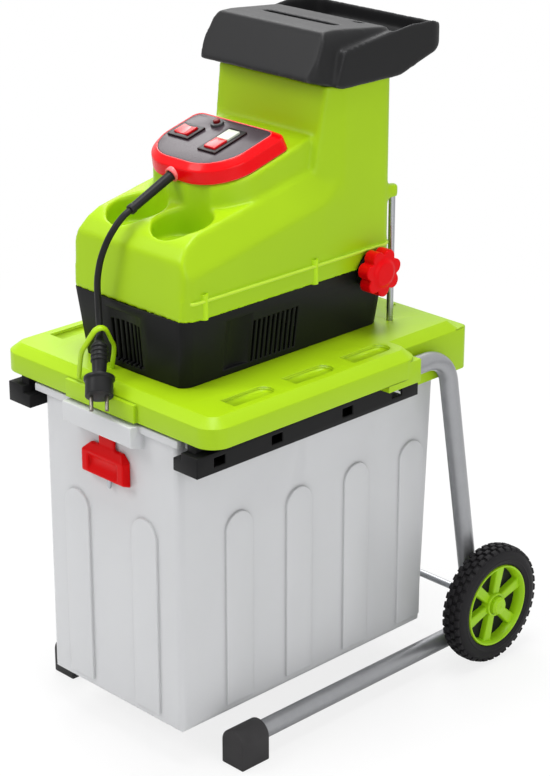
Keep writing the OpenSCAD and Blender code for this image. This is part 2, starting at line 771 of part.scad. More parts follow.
// Raised seat under the bezel, down to the hood's top and back to the tower
module panel_seat(t) intersection() {
    translate([0, bezel_y, hood_top - 30]) linear_extrude(150) {
        front_round_plan(seat_w/2 - t, 1 + t, bezel_l, bezel_r + 4 - t);
        translate([t - seat_w/2, bezel_l/2]) square([seat_w - 2*t, tower_front - bezel_y - bezel_l/2 + 14]);
    }
    on_panel() translate([-120, -40, -120 - t]) cube([240, 260, 120]);
}

module pocket_pair(d, h) for (x = [-pocket_x, pocket_x])
    translate([x, pocket_y, hood_top - pocket_h]) cylinder(d = d, h = h);

// Strip along the parting line that stands proud of the side walls
module side_flange() difference() {
    translate([0, 0, parting_z]) linear_extrude(flange_h) intersection() {
        round_plan(parting_w/2 + flange_out, -parting_front, housing_rear, house_corner_r);
        translate([-parting_w, -parting_front + 12]) square([2*parting_w, parting_front + housing_rear]);
    }
    translate([0, 0, parting_z - over]) linear_extrude(flange_h + 2*over)
        round_plan(parting_w/2 - shell, -parting_front, housing_rear - shell, house_corner_r);
}

module screw_lug(y) translate([screw_x, y, parting_z])
    cylinder(d = 16, h = flange_h + 2);

lug_ys = [-218, -28];

module upper_housing() color(lime) difference() {
    union() {
        difference() {
            union() {
                hood_body(0, parting_z);
                tower_body(0, parting_z, tower_top);
                panel_seat(0);
            }
            hood_body(shell, parting_z - over);
            tower_body(shell, parting_z - over, tower_top + over);
            panel_seat(shell);
        }
        side_flange();
        both_sides() {
            for (y = lug_ys) screw_lug(y);
            translate([rod_x, rod_y, rod_top - 14]) cylinder(d = rod_d + 7, h = 18);
            translate([rod_x - 6, housing_rear - shell, rod_top - 14]) cube([12, 8, 18]);
        }
        intersection() {
            pocket_pair(pocket_d + 5, 120);
            union() {
                hood_body(0, parting_z);
                panel_seat(0);
            }
        }
    }
    translate([0, 0, 3]) pocket_pair(pocket_d, 90);
    both_sides() {
        for (y = lug_ys) translate([screw_x, y, parting_z - over]) {
            cylinder(d = 4.4, h = flange_h + 4);
            translate([0, 0, flange_h - 4]) cylinder(d = 9, h = 8);
        }
        translate([rod_x, rod_y, rod_top - 14 - over]) cylinder(d = rod_d + 2*seat_gap, h = 12);
    }
    on_panel() translate([-40, 30, -40]) cube([80, 70, 60]);
    adjuster_hole();
}

module housing_screws() color(steel) both_sides() for (y = lug_ys)
    translate([screw_x, y, parting_z - 10]) difference() {
        union() {
            cylinder(d = 4, h = flange_h + 6);
            translate([0, 0, flange_h + 5]) cylinder(d = 8, h = 3);
        }
        translate([0, 0, flange_h + 6.5]) cylinder(d = 4, h = 3, $fn = 6);
    }

module tie_rods() color(steel) both_sides() translate([rod_x, rod_y, platform_top - tray_wall])
    cylinder(d = rod_d, h = rod_top - 4 - platform_top + tray_wall);

// Arch that parks the plug, turned sideways and leaning over the front edge
hook_at = [-34.4, 20 - platform_front];
hook_turn = 69;
hook_lean = 20;
hook_w = 48;
hook_h = 70;
hook_t = 5;
hook_deep = 12;

module hook_arch(t) {
    w = hook_w/2 - t;
    polygon([[-w, -20], [-w, 39 - t*0.4], [-w + 5, 45 - t*0.6], [t*0.5 - 7, hook_h - t], [7 - t*0.5,
        hook_h - t],
        [w - 5, 45 - t*0.6], [w, 39 - t*0.4], [w, -20]]);
}

module cable_hook() color(lime) difference() {
    translate([hook_at[0], hook_at[1], platform_top]) rotate([0, 0, hook_turn]) rotate([hook_lean, 0, 0])
        rotate([90, 0, 0]) linear_extrude(hook_deep, center = true) difference() {
            hook_arch(0);
            hook_arch(hook_t);
        }
    tray_body(0, 60);
    skirt_bulge();
}

// Feed hopper and chute

// Side outline of the front hood, from its lower front edge over the ridge
module hopper_hood_side(t) {
    polygon([[hood_front_y + t, tower_top + 9], [hood_ridge_y - 4 + t, hopper_top - 6],
        [hood_ridge_y + t, hopper_top - t],
        [hood_ridge_y + 12, hopper_top + 1 - t], [hood_back_y - t, hopper_top - 9 - t],
            [hood_back_y - t, tower_top - 6],
        [16, tower_top - 6], [2, tower_top - 1]]);
}

module hopper_hood(t) intersection() {
    across(collar_w + 40) hopper_hood_side(t);
    rotate([90, 0, 0]) linear_extrude(600, center = true)
        polygon([[t - 110, tower_top - 20], [110 - t, tower_top - 20], [100 - t, hopper_top - 10],
            [94 - t, hopper_top - t],
            [t - 94, hopper_top - t], [t - 100, hopper_top - 10]]);
    translate([0, 0, tower_top - 20]) linear_extrude(120)
        polygon([[t - 97, hood_front_y - 9], [97 - t, hood_front_y - 9], [97 - t, hood_front_y],
            [111 - t, hood_front_y + 34],
            [111 - t, 200], [t - 111, 200], [t - 111, hood_front_y + 34], [t - 97, hood_front_y]]);
}

module collar_side(t) {
    polygon([[2 + t, tower_top - 1], [16 + t, tower_top + 43], [140, tower_top + 59], [182, tower_top + 58],
        [collar_rear - t, tower_top + 49], [collar_rear - t, tower_top + 22], [housing_rear + 5,
            tower_top - 6],
        [16, tower_top - 6]]);
}

module hopper_collar(t) intersection() {
    across(collar_w + 40) collar_side(t);
    translate([0, 0, tower_top - 20]) linear_extrude(120)
        tail_round_plan(collar_w/2 - t, -40, collar_rear - t, 27 - t);
}

// Space inside the hopper above its sloped floor
module hopper_room() intersection() {
    union() {
        hopper_hood(hopper_wall);
        intersection() {
            hopper_collar(hopper_wall);
            translate([-200, 16 + 2*hopper_wall, 0]) cube([400, 400, 2000]);
        }
        translate([0, 0, tower_top + 20]) linear_extrude(100)
            tail_round_plan(collar_w/2 - hopper_wall, hood_back_y, collar_rear - hopper_wall,
                27 - hopper_wall);
    }
    across(collar_w + 40) polygon([[-60, tower_top + 14], [-2, tower_top + 4], [housing_rear, tower_top + 4],
        [collar_rear + 20, tower_top + 34], [collar_rear + 20, tower_top + 200], [-60, tower_top + 200]]);
}

module feed_hopper() color(dark_grey) difference() {
    union() {
        hopper_hood(0);
        hopper_collar(0);
        translate([-chute_w/2 + 4, chute_y - chute_l/2 + 4, tower_top - 24])
            cube([chute_w - 8, chute_l - 8, 26]);
    }
    hopper_room();
    // cap over the tower's rim
    difference() {
        translate([0, 0, tower_top - 40]) linear_extrude(40) tower_plan(-0.5);
        translate([-chute_w/2 + 4, chute_y - chute_l/2 + 4, tower_top - 24])
            cube([chute_w - 8, chute_l - 8, 26]);
    }
    translate([-chute_w/2 + 7, chute_y - chute_l/2 + 7, tower_top - 40]) cube([chute_w - 14,
        chute_l - 14, 60]);
    // hand slot behind the ridge
    translate([-62, 46, hopper_top - 20]) cube([124, 12, 40]);
    translate([50, hood_back_y - 14, hopper_top - 20]) cube([14, 6, 40]);
}

module feed_chute() color(dark_grey) difference() {
    union() {
        translate([-chute_w/2, chute_y - chute_l/2, roller_z + roller_r + 14])
            cube([chute_w, chute_l, tower_top - 6 - roller_z - roller_r - 14]);
        translate([-chute_w/2 - 8, frame_front_y + over, roller_z + roller_r + 14])
            cube([chute_w + 16, frame_rear_y + frame_t - frame_front_y - 2*over, 3]);
    }
    translate([3 - chute_w/2, chute_y - chute_l/2 + 3, roller_z + roller_r]) cube([chute_w - 6,
        chute_l - 6, 300]);
}

// Control panel

module control_bezel() color(red) difference() {
    on_panel() hull() {
        linear_extrude(skin) bezel_plan(0);
        translate([0, 0, bezel_h - 8]) linear_extrude(skin) bezel_plan(2);
        translate([0, 0, bezel_h - skin]) linear_extrude(skin) bezel_plan(bezel_rim - 1);
    }
    on_panel() {
        translate([0, 0, plate_rise]) linear_extrude(bezel_h) bezel_plan(bezel_rim - seat_gap);
        translate([0, 0, -over]) linear_extrude(plate_rise - 3 + over) bezel_plan(bezel_wall + 2);
        translate([0, 0, -over]) linear_extrude(bezel_h) bezel_plan(bezel_rim + 5);
    }
    sleeve_path() cylinder(d = sleeve_d + 2*seat_gap, h = 40, center = true);
}

// Switch places on the face plate: x, then the distance up the slope
rocker_at = [-44, 68];
buttons_at = [22, 68];
reset_at = [-20, 100];
rocker_size = [32, 26];
buttons_size = [26, 52];
switch_wall = 3;
rocker_pin_d = 3;

module control_plate() color(black) on_panel() difference() {
    translate([0, 0, plate_rise]) linear_extrude(plate_t) bezel_plan(bezel_rim);
    switch_hole(rocker_at, rocker_size, 0);
    switch_hole(buttons_at, buttons_size, 0);
    translate([reset_at[0], reset_at[1], 0]) cylinder(d = 12, h = 60);
}

// Opening of a switch in the plate, smaller by t all round
module switch_hole(at, size, t) translate([at[0] - size[0]/2 + t, at[1] - size[1]/2 + t, 0])
    cube([size[0] - 2*t, size[1] - 2*t, 60]);

// Snap-in switch body with a rim round its opening
module switch_frame(at, size) on_panel() difference() {
    union() {
        translate([0, 0, plate_rise + plate_t - 18]) intersection() {
            switch_hole(at, size, seat_gap);
            translate([-100, 0, 0]) cube([200, 200, 18 + skin]);
        }
        translate([at[0] - size[0]/2 - 3, at[1] - size[1]/2 - 3, plate_rise + plate_t])
            cube([size[0] + 6, size[1] + 6, 2.5]);
    }
    translate([0, 0, plate_rise + plate_t - 15]) switch_hole(at, size, switch_wall);
}

// Axle of the rocker, along the panel's slope, reaching into the frame's walls
module rocker_axle(d, deep) on_panel() translate([rocker_at[0], rocker_at[1], plate_rise + plate_t])
    rotate([90, 0, 0]) cylinder(d = d, h = rocker_size[1] - 2*switch_wall + 2*deep, center = true);

module rocker_frame() color(black) difference() {
    switch_frame(rocker_at, rocker_size);
    rocker_axle(rocker_pin_d + 2*run_gap, 2);
}

module button_frame() color(black) switch_frame(buttons_at, buttons_size);

// Rocker with its two pins
module direction_rocker() color(red) {
    on_panel() translate([rocker_at[0], rocker_at[1], plate_rise + plate_t]) rotate([90, 0, 0])
        linear_extrude(rocker_size[1] - 2*switch_wall - 2*slide_gap, center = true)
            polygon([[-12, -1], [-12, 5.2], [-6, 3.6], [0, 3.2], [6, 3.6], [12, 5.2], [12, -1], [4,
                -9], [-4, -9]]);
    rocker_axle(rocker_pin_d, 1.8);
}

// One of the two push buttons, up or down the slope from the middle
module push_button(side) {
    w = buttons_size[0] - 2*switch_wall - 2*slide_gap;
    l = buttons_size[1]/2 - switch_wall - slide_gap*1.5;
    on_panel() translate([buttons_at[0] - w/2, buttons_at[1] + (side > 0 ? slide_gap/2 : -l - slide_gap/2),
        plate_rise + plate_t - 8]) cube([w, l, 13]);
}

module start_button() color([0.30, 0.62, 0.28]) push_button(1);

module stop_button() color(red) push_button(-1);

module reset_collar() color(dark_grey) on_panel()
    translate([reset_at[0], reset_at[1], plate_rise + plate_t]) rotate_extrude()
        polygon([[4.6, -12], [5.8, -12], [5.8, 0], [9, 0], [8, 3], [4.6, 3]]);

module reset_button() color([0.55, 0.04, 0.05]) on_panel()
    translate([reset_at[0], reset_at[1], plate_rise + plate_t]) rotate_extrude()
        polygon([[0, -8], [4.55, -8], [4.55, 6], [3.5, 7], [0, 7]]);

// Motor, gears and cutting unit

module motor_case() color(steel) difference() {
    union() {
        y_rod(motor_front, motor_back, motor_x, motor_z, motor_d);
        y_rod(motor_back - 6, motor_back, motor_x, motor_z, motor_d + 6);
    }
    y_rod(motor_front + 5, motor_back - 6, motor_x, motor_z, motor_d - 8);
    y_rod(motor_front - over, motor_back + over, motor_x, motor_z, 14 + 2*run_gap);
    for (i = [0 : 7]) translate([motor_x, motor_front - over, motor_z]) rotate([0, i*45, 0])
        translate([22, 0, -4]) cube([14, 8, 8]);
}

module motor_stator() color([0.55, 0.36, 0.22]) difference() {
    y_rod(motor_front + 30, motor_front + 120, motor_x, motor_z, motor_d - 8 - 2*seat_gap);
    y_rod(motor_front + 29, motor_front + 121, motor_x, motor_z, 56);
}

function involute_deg(rb, r) = let (a = acos(min(1, rb/r))) tan(a)*180/PI - a;

// One gear tooth's right flank, then its left one, as polar points
function tooth(z, i, rp, rb, rs) = let (
    half = 90/z*0.9 + involute_deg(rb, rp),
    right = [for (r = rs) [r, i*360/z - half + involute_deg(rb, max(r, rb))]],
    left = [for (k = [len(rs) - 1 : -1 : 0]) [rs[k], i*360/z + half - involute_deg(rb, max(rs[k], rb))]])
    concat(right, left);

module gear_plan(z) {
    rp = gear_m*z/2;
    rb = rp*cos(20);
    root = rp - 1.25*gear_m;
    rs = [root, max(rb, root + 0.1), rp, rp + 0.5*gear_m, rp + 0.85*gear_m];
    polygon([for (i = [0 : z - 1], p = tooth(z, i, rp, rb, rs)) p[0]*[cos(p[1]), sin(p[1])]]);
}

// Gear along Y; turn sets the angle of its first tooth, counted from +X towards +Z
module y_gear(x, y, z, teeth, turn) translate([x, y, z]) rotate([90, 0, 0]) rotate([0, 0, turn])
    mirror([0, 0, 1]) linear_extrude(gear_w) gear_plan(teeth);

module motor_rotor() color(steel) {
    y_rod(motor_front + 32, motor_front + 118, motor_x, motor_z, 54);
    y_rod(motor_front - 4, motor_gear_y + over, motor_x, motor_z, 14);
    y_gear(motor_x, motor_gear_y, motor_z, pinion_teeth, 155 + 180/pinion_teeth*(1 - pinion_teeth%2));
}

module cooling_fan() color(black) difference() {
    union() {
        y_rod(motor_front + 8, motor_front + 22, motor_x, motor_z, 26);
        for (i = [0 : 8]) translate([motor_x, motor_front + 8, motor_z]) rotate([0, i*40, 0])
            translate([10, 0, -1.5]) cube([30, 12, 3]);
    }
    y_rod(motor_front + 7, motor_front + 23, motor_x, motor_z, 14 + 2*seat_gap);
}

gearbox_low = [roller_x - 68, frame_front_y - 46, roller_z - 46];
gearbox_size = [118, 46, 132];

module gearbox() color([0.62, 0.63, 0.65]) difference() {
    translate(gearbox_low) cube(gearbox_size);
    translate(gearbox_low + [5, 5, 5]) cube(gearbox_size - [10, 4, 10]);
    y_rod(gearbox_low[1] - over, gearbox_low[1] + 6, motor_x, motor_z, 16);
    y_rod(gearbox_low[1] - over, gearbox_low[1] + 6, middle_x, middle_z, 12 + 2*run_gap);
}

module middle_gear() color([0.55, 0.55, 0.56]) {
    y_gear(middle_x, motor_gear_y, middle_z, gear_teeth, -25);
    y_gear(middle_x, roller_gear_y, middle_z, pinion_teeth, -60 + 180/pinion_teeth);
    y_rod(gearbox_low[1] + 0.5, frame_front_y + 6, middle_x, middle_z, 12);
}

module roller_gear() color([0.55, 0.55, 0.56]) difference() {
    y_gear(roller_x, roller_gear_y, roller_z, gear_teeth, 120);
    y_rod(roller_gear_y - over, roller_gear_y + gear_w + over, roller_x, roller_z,
        roller_shaft_d + 2*seat_gap);
}

// Straight-toothed roller: each tooth has a steep cutting face and a sloped back
module cutting_roller() color([0.45, 0.46, 0.48]) {
    translate([roller_x, roller_y + roller_l, roller_z]) rotate([90, 0, 0]) linear_extrude(roller_l)
        polygon([for (i = [0 : roller_teeth - 1], p = [[roller_r - 9, 0], [roller_r, 2], [roller_r, 8],
            [roller_r - 9, 26]]) p[0]*[cos(i*360/roller_teeth + p[1]), sin(i*360/roller_teeth + p[1])]]);
    y_rod(roller_gear_y - 2, frame_rear_y + frame_t - 2, roller_x, roller_z, roller_shaft_d);
}

module frame_plate(y) translate([-72, y, platform_top + shell + skin])
    cube([144, frame_t, roller_z + roller_r + 14 - platform_top - shell - skin]);

module cutting_frame() color([0.60, 0.61, 0.63]) difference() {
    union() {
        frame_plate(frame_front_y);
        frame_plate(frame_rear_y);
        translate([-72, frame_front_y, platform_top + shell + skin])
            cube([8, frame_rear_y - frame_front_y + frame_t, roller_z + roller_r + 10 - platform_top]);
        for (z = [roller_z - 40, roller_z + 34]) translate([counter_x, frame_front_y, z])
            cube([72 - counter_x, frame_rear_y - frame_front_y + frame_t, 6]);
    }
    y_rod(frame_front_y - over, frame_rear_y + frame_t + over, roller_x, roller_z, bearing_d + 2*seat_gap);
    y_rod(frame_front_y - over, frame_front_y + 7, middle_x, middle_z, 12 + 2*run_gap);
}

module bearing(y) color(steel) difference() {
    y_rod(y, y + frame_t, roller_x, roller_z, bearing_d);
    y_rod(y - over, y + frame_t + over, roller_x, roller_z, shaft_run);
    for (s = [-over, frame_t - 1]) translate([0, s, 0]) difference() {
        y_rod(y, y + 1 + over, roller_x, roller_z, bearing_d - 8);
        y_rod(y - over, y + 2 + 2*over, roller_x, roller_z, shaft_run + 8);
    }
}

module bearing_front() bearing(frame_front_y);

module bearing_rear() bearing(frame_rear_y);

module counter_plate() color([0.45, 0.46, 0.48]) difference() {
    union() {
        translate([counter_x, chute_y - counter_l/2, roller_z - 34 + slide_gap])
            cube([counter_t, counter_l, 68 - 2*slide_gap]);
        x_rod(counter_x + counter_t - over, counter_x + counter_t + 16, knob_y, knob_z, 26);
    }
    x_rod(counter_x + 4, counter_x + counter_t + 20, knob_y, knob_z, screw_d + 2*run_gap);
    translate([roller_x, chute_y, roller_z]) rotate([90, 0, 0])
        cylinder(r = roller_r + cut_gap + 1.5, h = counter_l + 2, center = true);
}

module adjuster_boss() color(black) difference() {
    union() {
        x_rod(boss_x, parting_w/2 + 6, knob_y, knob_z, boss_d);
        x_rod(72, boss_x + over, knob_y, knob_z, 30);
    }
    x_rod(72 - over, parting_w/2 + 10, knob_y, knob_z, screw_d + 2*run_gap);
}

module adjuster_screw() color(steel)
    x_rod(counter_x + 13, knob_x + knob_t - 4, knob_y, knob_z, screw_d);

module adjuster_knob() color(red) difference() {
    union() {
        x_rod(knob_x - 2, knob_x + over, knob_y, knob_z, 34);
        translate([knob_x, knob_y, knob_z]) rotate([0, 90, 0]) linear_extrude(knob_t) {
            circle(d = knob_d*0.72);
            for (i = [0 : knob_lobes - 1]) rotate([0, 0, i*360/knob_lobes]) translate([knob_d*0.34, 0])
                circle(d = knob_d*0.32);
        }
        translate([knob_x + knob_t, knob_y, knob_z]) rotate([0, 90, 0]) cylinder(d1 = 40, d2 = 30, h = 3);
    }
    x_rod(knob_x - 3, knob_x + knob_t - 4, knob_y, knob_z, screw_d + 2*seat_gap);
}

// Mains cord

// Direction of travel at each point of a path
function heading(p, i) = unit(p[min(i + 1, len(p) - 1)] - p[max(i - 1, 0)]);

function ring_at(p, i, r, sides) = let (d = heading(p, i), a = unit(cross(d, [1, 0.2, 0])), b = cross(d, a))
    [for (k = [0 : sides - 1]) p[i] + r*(a*cos(k*360/sides) + b*sin(k*360/sides))];

module swept_tube(p, r, sides) {
    n = len(p);
    points = [for (i = [0 : n - 1]) each ring_at(p, i, r, sides)];
    sides_faces = [for (i = [0 : n - 2], k = [0 : sides - 1], f = [0, 1]) let (a = i*sides + k,
        b = i*sides + (k + 1)%sides) f == 0 ? [a, b, b + sides] : [a, b + sides, a + sides]];
    caps = [[for (k = [sides - 1 : -1 : 0]) k], [for (k = [0 : sides - 1]) (n - 1)*sides + k]];
    polyhedron(points, concat(sides_faces, caps));
}

// Turns +Z to run from one point to another
module along(from, to) {
    d = to - from;
    translate(from) rotate([0, acos(d[2]/norm(d)), atan2(d[1], d[0])]) children();
}

sleeve_l = norm(sleeve_mouth - sleeve_start);

module sleeve_path() along(sleeve_start, sleeve_mouth) children();

module cord_sleeve() color(black) sleeve_path() rotate_extrude()
    polygon([[0, -13], [8, -13], [8, -10], [sleeve_d/2, -10], [sleeve_d/2, 2], [cord_d/2 + 1.6, sleeve_l - 6],
        [cord_d/2 + 2.4, sleeve_l - 6], [cord_d/2 + 2.4, sleeve_l], [0, sleeve_l]]);

module power_cord() color(black) swept_tube(cord_points, cord_d/2, 10);

plug_l = norm(plug_foot - plug_neck);

// Moulded plug: ribbed neck, flange and body
module plug() color(black) along(plug_neck, plug_foot) {
    rotate_extrude() polygon([[0, 0], [cord_d/2 + 1, 0], [cord_d/2 + 2, 6], [9, 10], [10, plug_l*0.35],
        [8.5, plug_l*0.62],
        [11, plug_l*0.68], [19.5, plug_l*0.68], [19.5, plug_l*0.73], [17.5, plug_l*0.75], [17.5,
            plug_l], [0, plug_l]]);
    for (i = [0 : 3]) translate([0, 0, 12 + i*6]) cylinder(d = 22, h = 3);
}

module plug_pins() color(steel) along(plug_neck, plug_foot)
    for (x = [-9.5, 9.5]) translate([0, x, plug_l]) cylinder(d = 4.8, h = 19);

platform();
guide_rail_right();
guide_rail_left();
side_tube_right();
side_tube_left();
foot_right();
foot_left();
axle();
axle_caps();
tyre_right();
hub_right();
tyre_left();
hub_left();
collection_box();
box_latch();
interlock_switch();
lower_housing();
upper_housing();
housing_screws();
tie_rods();
cable_hook();
feed_hopper();
feed_chute();
control_bezel();
control_plate();
rocker_frame();
direction_rocker();
button_frame();
start_button();
stop_button();
reset_collar();
reset_button();
motor_case();
motor_stator();
motor_rotor();
cooling_fan();
gearbox();
middle_gear();
roller_gear();
cutting_roller();
cutting_frame();
bearing_front();
bearing_rear();
counter_plate();
adjuster_boss();
adjuster_screw();
adjuster_knob();
cord_sleeve();
power_cord();
plug();
plug_pins();
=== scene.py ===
import bmesh
import bpy
import json
import math
import numpy as np
from mathutils import Euler, Matrix, Vector
from mathutils.bvhtree import BVHTree


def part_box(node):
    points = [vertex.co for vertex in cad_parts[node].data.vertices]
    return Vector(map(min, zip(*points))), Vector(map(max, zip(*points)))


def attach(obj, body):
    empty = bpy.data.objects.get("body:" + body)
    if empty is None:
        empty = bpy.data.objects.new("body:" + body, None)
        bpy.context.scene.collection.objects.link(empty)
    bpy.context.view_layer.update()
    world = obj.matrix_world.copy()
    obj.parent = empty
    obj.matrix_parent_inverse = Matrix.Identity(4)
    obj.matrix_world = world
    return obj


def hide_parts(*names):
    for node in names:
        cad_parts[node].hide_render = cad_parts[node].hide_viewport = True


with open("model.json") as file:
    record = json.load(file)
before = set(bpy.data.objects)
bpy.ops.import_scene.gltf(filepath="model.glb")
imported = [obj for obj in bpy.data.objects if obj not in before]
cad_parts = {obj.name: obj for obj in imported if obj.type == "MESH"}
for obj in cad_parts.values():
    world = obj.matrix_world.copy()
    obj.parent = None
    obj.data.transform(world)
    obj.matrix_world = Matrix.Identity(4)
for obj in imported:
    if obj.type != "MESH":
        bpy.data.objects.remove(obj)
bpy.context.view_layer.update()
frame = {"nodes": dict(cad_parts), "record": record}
scene = bpy.context.scene
cad = frame["nodes"]
bodyOf = {node: body for body, nodes in frame["record"]["behaviour"]["bodies"].items() for node in nodes}
mm = 0.001
fullTurn = 2 * math.pi
quarterTurn = math.pi / 2
bothSides = ((1, "right"), (-1, "left"))
print("stage: frame loaded,", len(cad), "nodes")


def linked(name, data):
    obj = bpy.data.objects.new(name, data)
    scene.collection.objects.link(obj)
    return obj


# camera

cameraSettings = {
    "target": (0, 0.006, 0.463), "azimuth": 45.5, "elevation": 20.7, "distance": 2.9677,
    "focalPixels": 2231.9, "centre": (275.1, 348.7), "image": (550, 776), "sensor": 36, "clip": (0.05, 50),
}


def makeCamera(s):
    az, el = math.radians(s["azimuth"]), math.radians(s["elevation"])
    back = Vector((math.sin(az) * math.cos(el), -math.cos(az) * math.cos(el), math.sin(el)))
    w, h = s["image"]
    data = bpy.data.cameras.new("camera")
    data.sensor_width = s["sensor"]
    data.lens = s["focalPixels"] / max(w, h) * s["sensor"]
    data.shift_x = (w / 2 - s["centre"][0]) / max(w, h)
    data.shift_y = (s["centre"][1] - h / 2) / max(w, h)
    data.clip_start, data.clip_end = s["clip"]
    cam = linked("camera", data)
    cam.location = Vector(s["target"]) + back * s["distance"]
    cam.rotation_mode = "QUATERNION"
    cam.rotation_quaternion = (-back).to_track_quat("-Z", "Y")
    scene.camera = cam


makeCamera(cameraSettings)


# node writing

class Wire:
    # a socket that can be used in sums
    def __init__(self, graph, socket):
        self.graph, self.socket = graph, socket

    def sum(self, operation, a, b):
        return self.graph.node("ShaderNodeMath", {"operation": operation}, {0: a, 1: b})

    def __add__(self, other):
        return self.sum("ADD", self, other)

    def __radd__(self, other):
        return self.sum("ADD", other, self)

    def __sub__(self, other):
        return self.sum("SUBTRACT", self, other)

    def __rsub__(self, other):
        return self.sum("SUBTRACT", other, self)

    def __mul__(self, other):
        return self.sum("MULTIPLY", self, other)

    def __rmul__(self, other):
        return self.sum("MULTIPLY", other, self)

    def __truediv__(self, other):
        return self.sum("DIVIDE", self, other)

    def __rtruediv__(self, other):
        return self.sum("DIVIDE", other, self)

    def span(self, low, high):
        # 0 at low, 1 at high, held outside
        return self.graph.node("ShaderNodeMapRange", {"clamp": True},
            {0: self, 1: low, 2: high, 3: 0.0, 4: 1.0})


class Graph:
    # a node tree, written from empty
    def __init__(self, tree):
        self.tree = tree
        tree.nodes.clear()

    def node(self, kind, settings=None, inputs=None, out=0):
        # any node; an input is a number, a wire or a list of wires
        made = self.tree.nodes.new(kind)
        for key, value in (settings or {}).items():
            setattr(made, key, value)
        for key, value in (inputs or {}).items():
            for one in value if isinstance(value, list) else [value]:
                if isinstance(one, Wire):
                    self.tree.links.new(one.socket, made.inputs[key])
                else:
                    made.inputs[key].default_value = one
        return Wire(self, made.outputs[out]) if made.outputs else made


# edges and crests feed painted highlights, corners feed painted shade
edgeAndCornerSettings = {
    "bevelSamples": 6, "edges": (0.01, 0.12), "crests": (0.515, 0.6),
    "cornerSamples": 4, "corners": (0.12, 0.7),
}


class Finish(Graph):
    # a material, and what its painted edge highlights and painted corner shade need to know of the surface
    def __init__(self, name):
        self.material = bpy.data.materials.new(name)
        self.material.use_nodes = True
        super().__init__(self.material.node_tree)

    def mixColour(self, factor, a, b):
        return self.node("ShaderNodeMix", {"data_type": "RGBA"}, {0: factor, 6: a, 7: b}, 2)

    def place(self):
        return self.node("ShaderNodeTexCoord", out="Object")

    def noise(self, scale, detail, rough, place):
        return self.node("ShaderNodeTexNoise", None,
            {"Vector": place, "Scale": scale, "Detail": detail, "Roughness": rough})

    def bump(self, strength, depth, height, normal):
        return self.node("ShaderNodeBump", None,
            {"Strength": strength, "Distance": depth, "Height": height, "Normal": normal})

    def softNormal(self, radius):
        return self.node("ShaderNodeBevel", {"samples": edgeAndCornerSettings["bevelSamples"]}, {"Radius": radius})

    def edges(self, normal):
        # 1 along outer and inner edges
        flat = self.node("ShaderNodeNewGeometry", out="Normal")
        dot = self.node("ShaderNodeVectorMath", {"operation": "DOT_PRODUCT"}, {0: normal, 1: flat}, "Value")
        return (1 - dot).span(*edgeAndCornerSettings["edges"])

    def crests(self):
        # 1 along outer edges of a finely meshed piece
        return self.node("ShaderNodeNewGeometry", out="Pointiness").span(*edgeAndCornerSettings["crests"])

    def corners(self, reach):
        # 1 deep in grooves, recesses and inner corners, where shade is painted
        clear = self.node("ShaderNodeAmbientOcclusion",
            {"samples": edgeAndCornerSettings["cornerSamples"], "only_local": True}, {"Distance": reach}, "AO")
        return (1 - clear).span(*edgeAndCornerSettings["corners"])

    def close(self, **sockets):
        surface = self.node("ShaderNodeBsdfPrincipled", None,
            {label.replace("_", " "): value for label, value in sockets.items()})
        self.node("ShaderNodeOutputMaterial", None, {"Surface": surface})
        return self.material


class Repeat(Graph):
    # geometry nodes with named inputs that turn a small mesh into many
    def __init__(self, name, **inputs):
        super().__init__(bpy.data.node_groups.new(name, "GeometryNodeTree"))
        face = self.tree.interface
        face.new_socket("Geometry", in_out="OUTPUT", socket_type="NodeSocketGeometry")
        face.new_socket("Geometry", in_out="INPUT", socket_type="NodeSocketGeometry")
        face.new_socket("Finish", in_out="INPUT", socket_type="NodeSocketMaterial")
        for label, kind in inputs.items():
            face.new_socket(label, in_out="INPUT", socket_type="NodeSocket" + kind)
        self.start = self.tree.nodes.new("NodeGroupInput")

    def given(self, label):
        return Wire(self, self.start.outputs[label])

    def vector(self, x=0.0, y=0.0, z=0.0):
        return self.node("ShaderNodeCombineXYZ", None, {0: x, 1: y, 2: z})

    def cylinder(self, count, radius, depth):
        return self.node("GeometryNodeMeshCylinder", None,
            {"Vertices": count, "Radius": radius, "Depth": depth}, "Mesh")

    def lifted(self, geometry, z):
        return self.node("GeometryNodeTransform", None,
            {"Geometry": geometry, "Translation": self.vector(z=z)})

    def cut(self, body, tool):
        return self.node("GeometryNodeMeshBoolean", {"operation": "DIFFERENCE"}, {0: body, 1: tool})

    def onPoints(self, points, instance, **more):
        return self.node("GeometryNodeInstanceOnPoints", None,
            {"Points": points, "Instance": instance, **more})

    def close(self, geometry):
        real = self.node("GeometryNodeRealizeInstances", None, {0: geometry})
        painted = self.node("GeometryNodeSetMaterial", None,
            {"Geometry": real, "Material": self.given("Finish")})
        self.node("NodeGroupOutput", None, {0: painted})

    def make(self, mesh, finish, **values):
        obj = linked("repeat", mesh)
        modifier = obj.modifiers.new("repeat", "NODES")
        modifier.node_group = self.tree
        names = {i.name: i.identifier for i in self.tree.interface.items_tree if i.in_out == "INPUT"}
        modifier[names["Finish"]] = finishes[finish]
        for label, value in values.items():
            modifier[names[label]] = value
        return flatten(obj)


# finishes

def linear(r, g, b):
    # screen values 0-255 to scene colour
    def one(c):
        c /= 255
        return c / 12.92 if c <= 0.04045 else ((c + 0.055) / 1.055) ** 2.4
    return one(r), one(g), one(b), 1.0


def shade(colour, k):
    return tuple(min(1.0, c * k) for c in colour[:3]) + (1.0,)


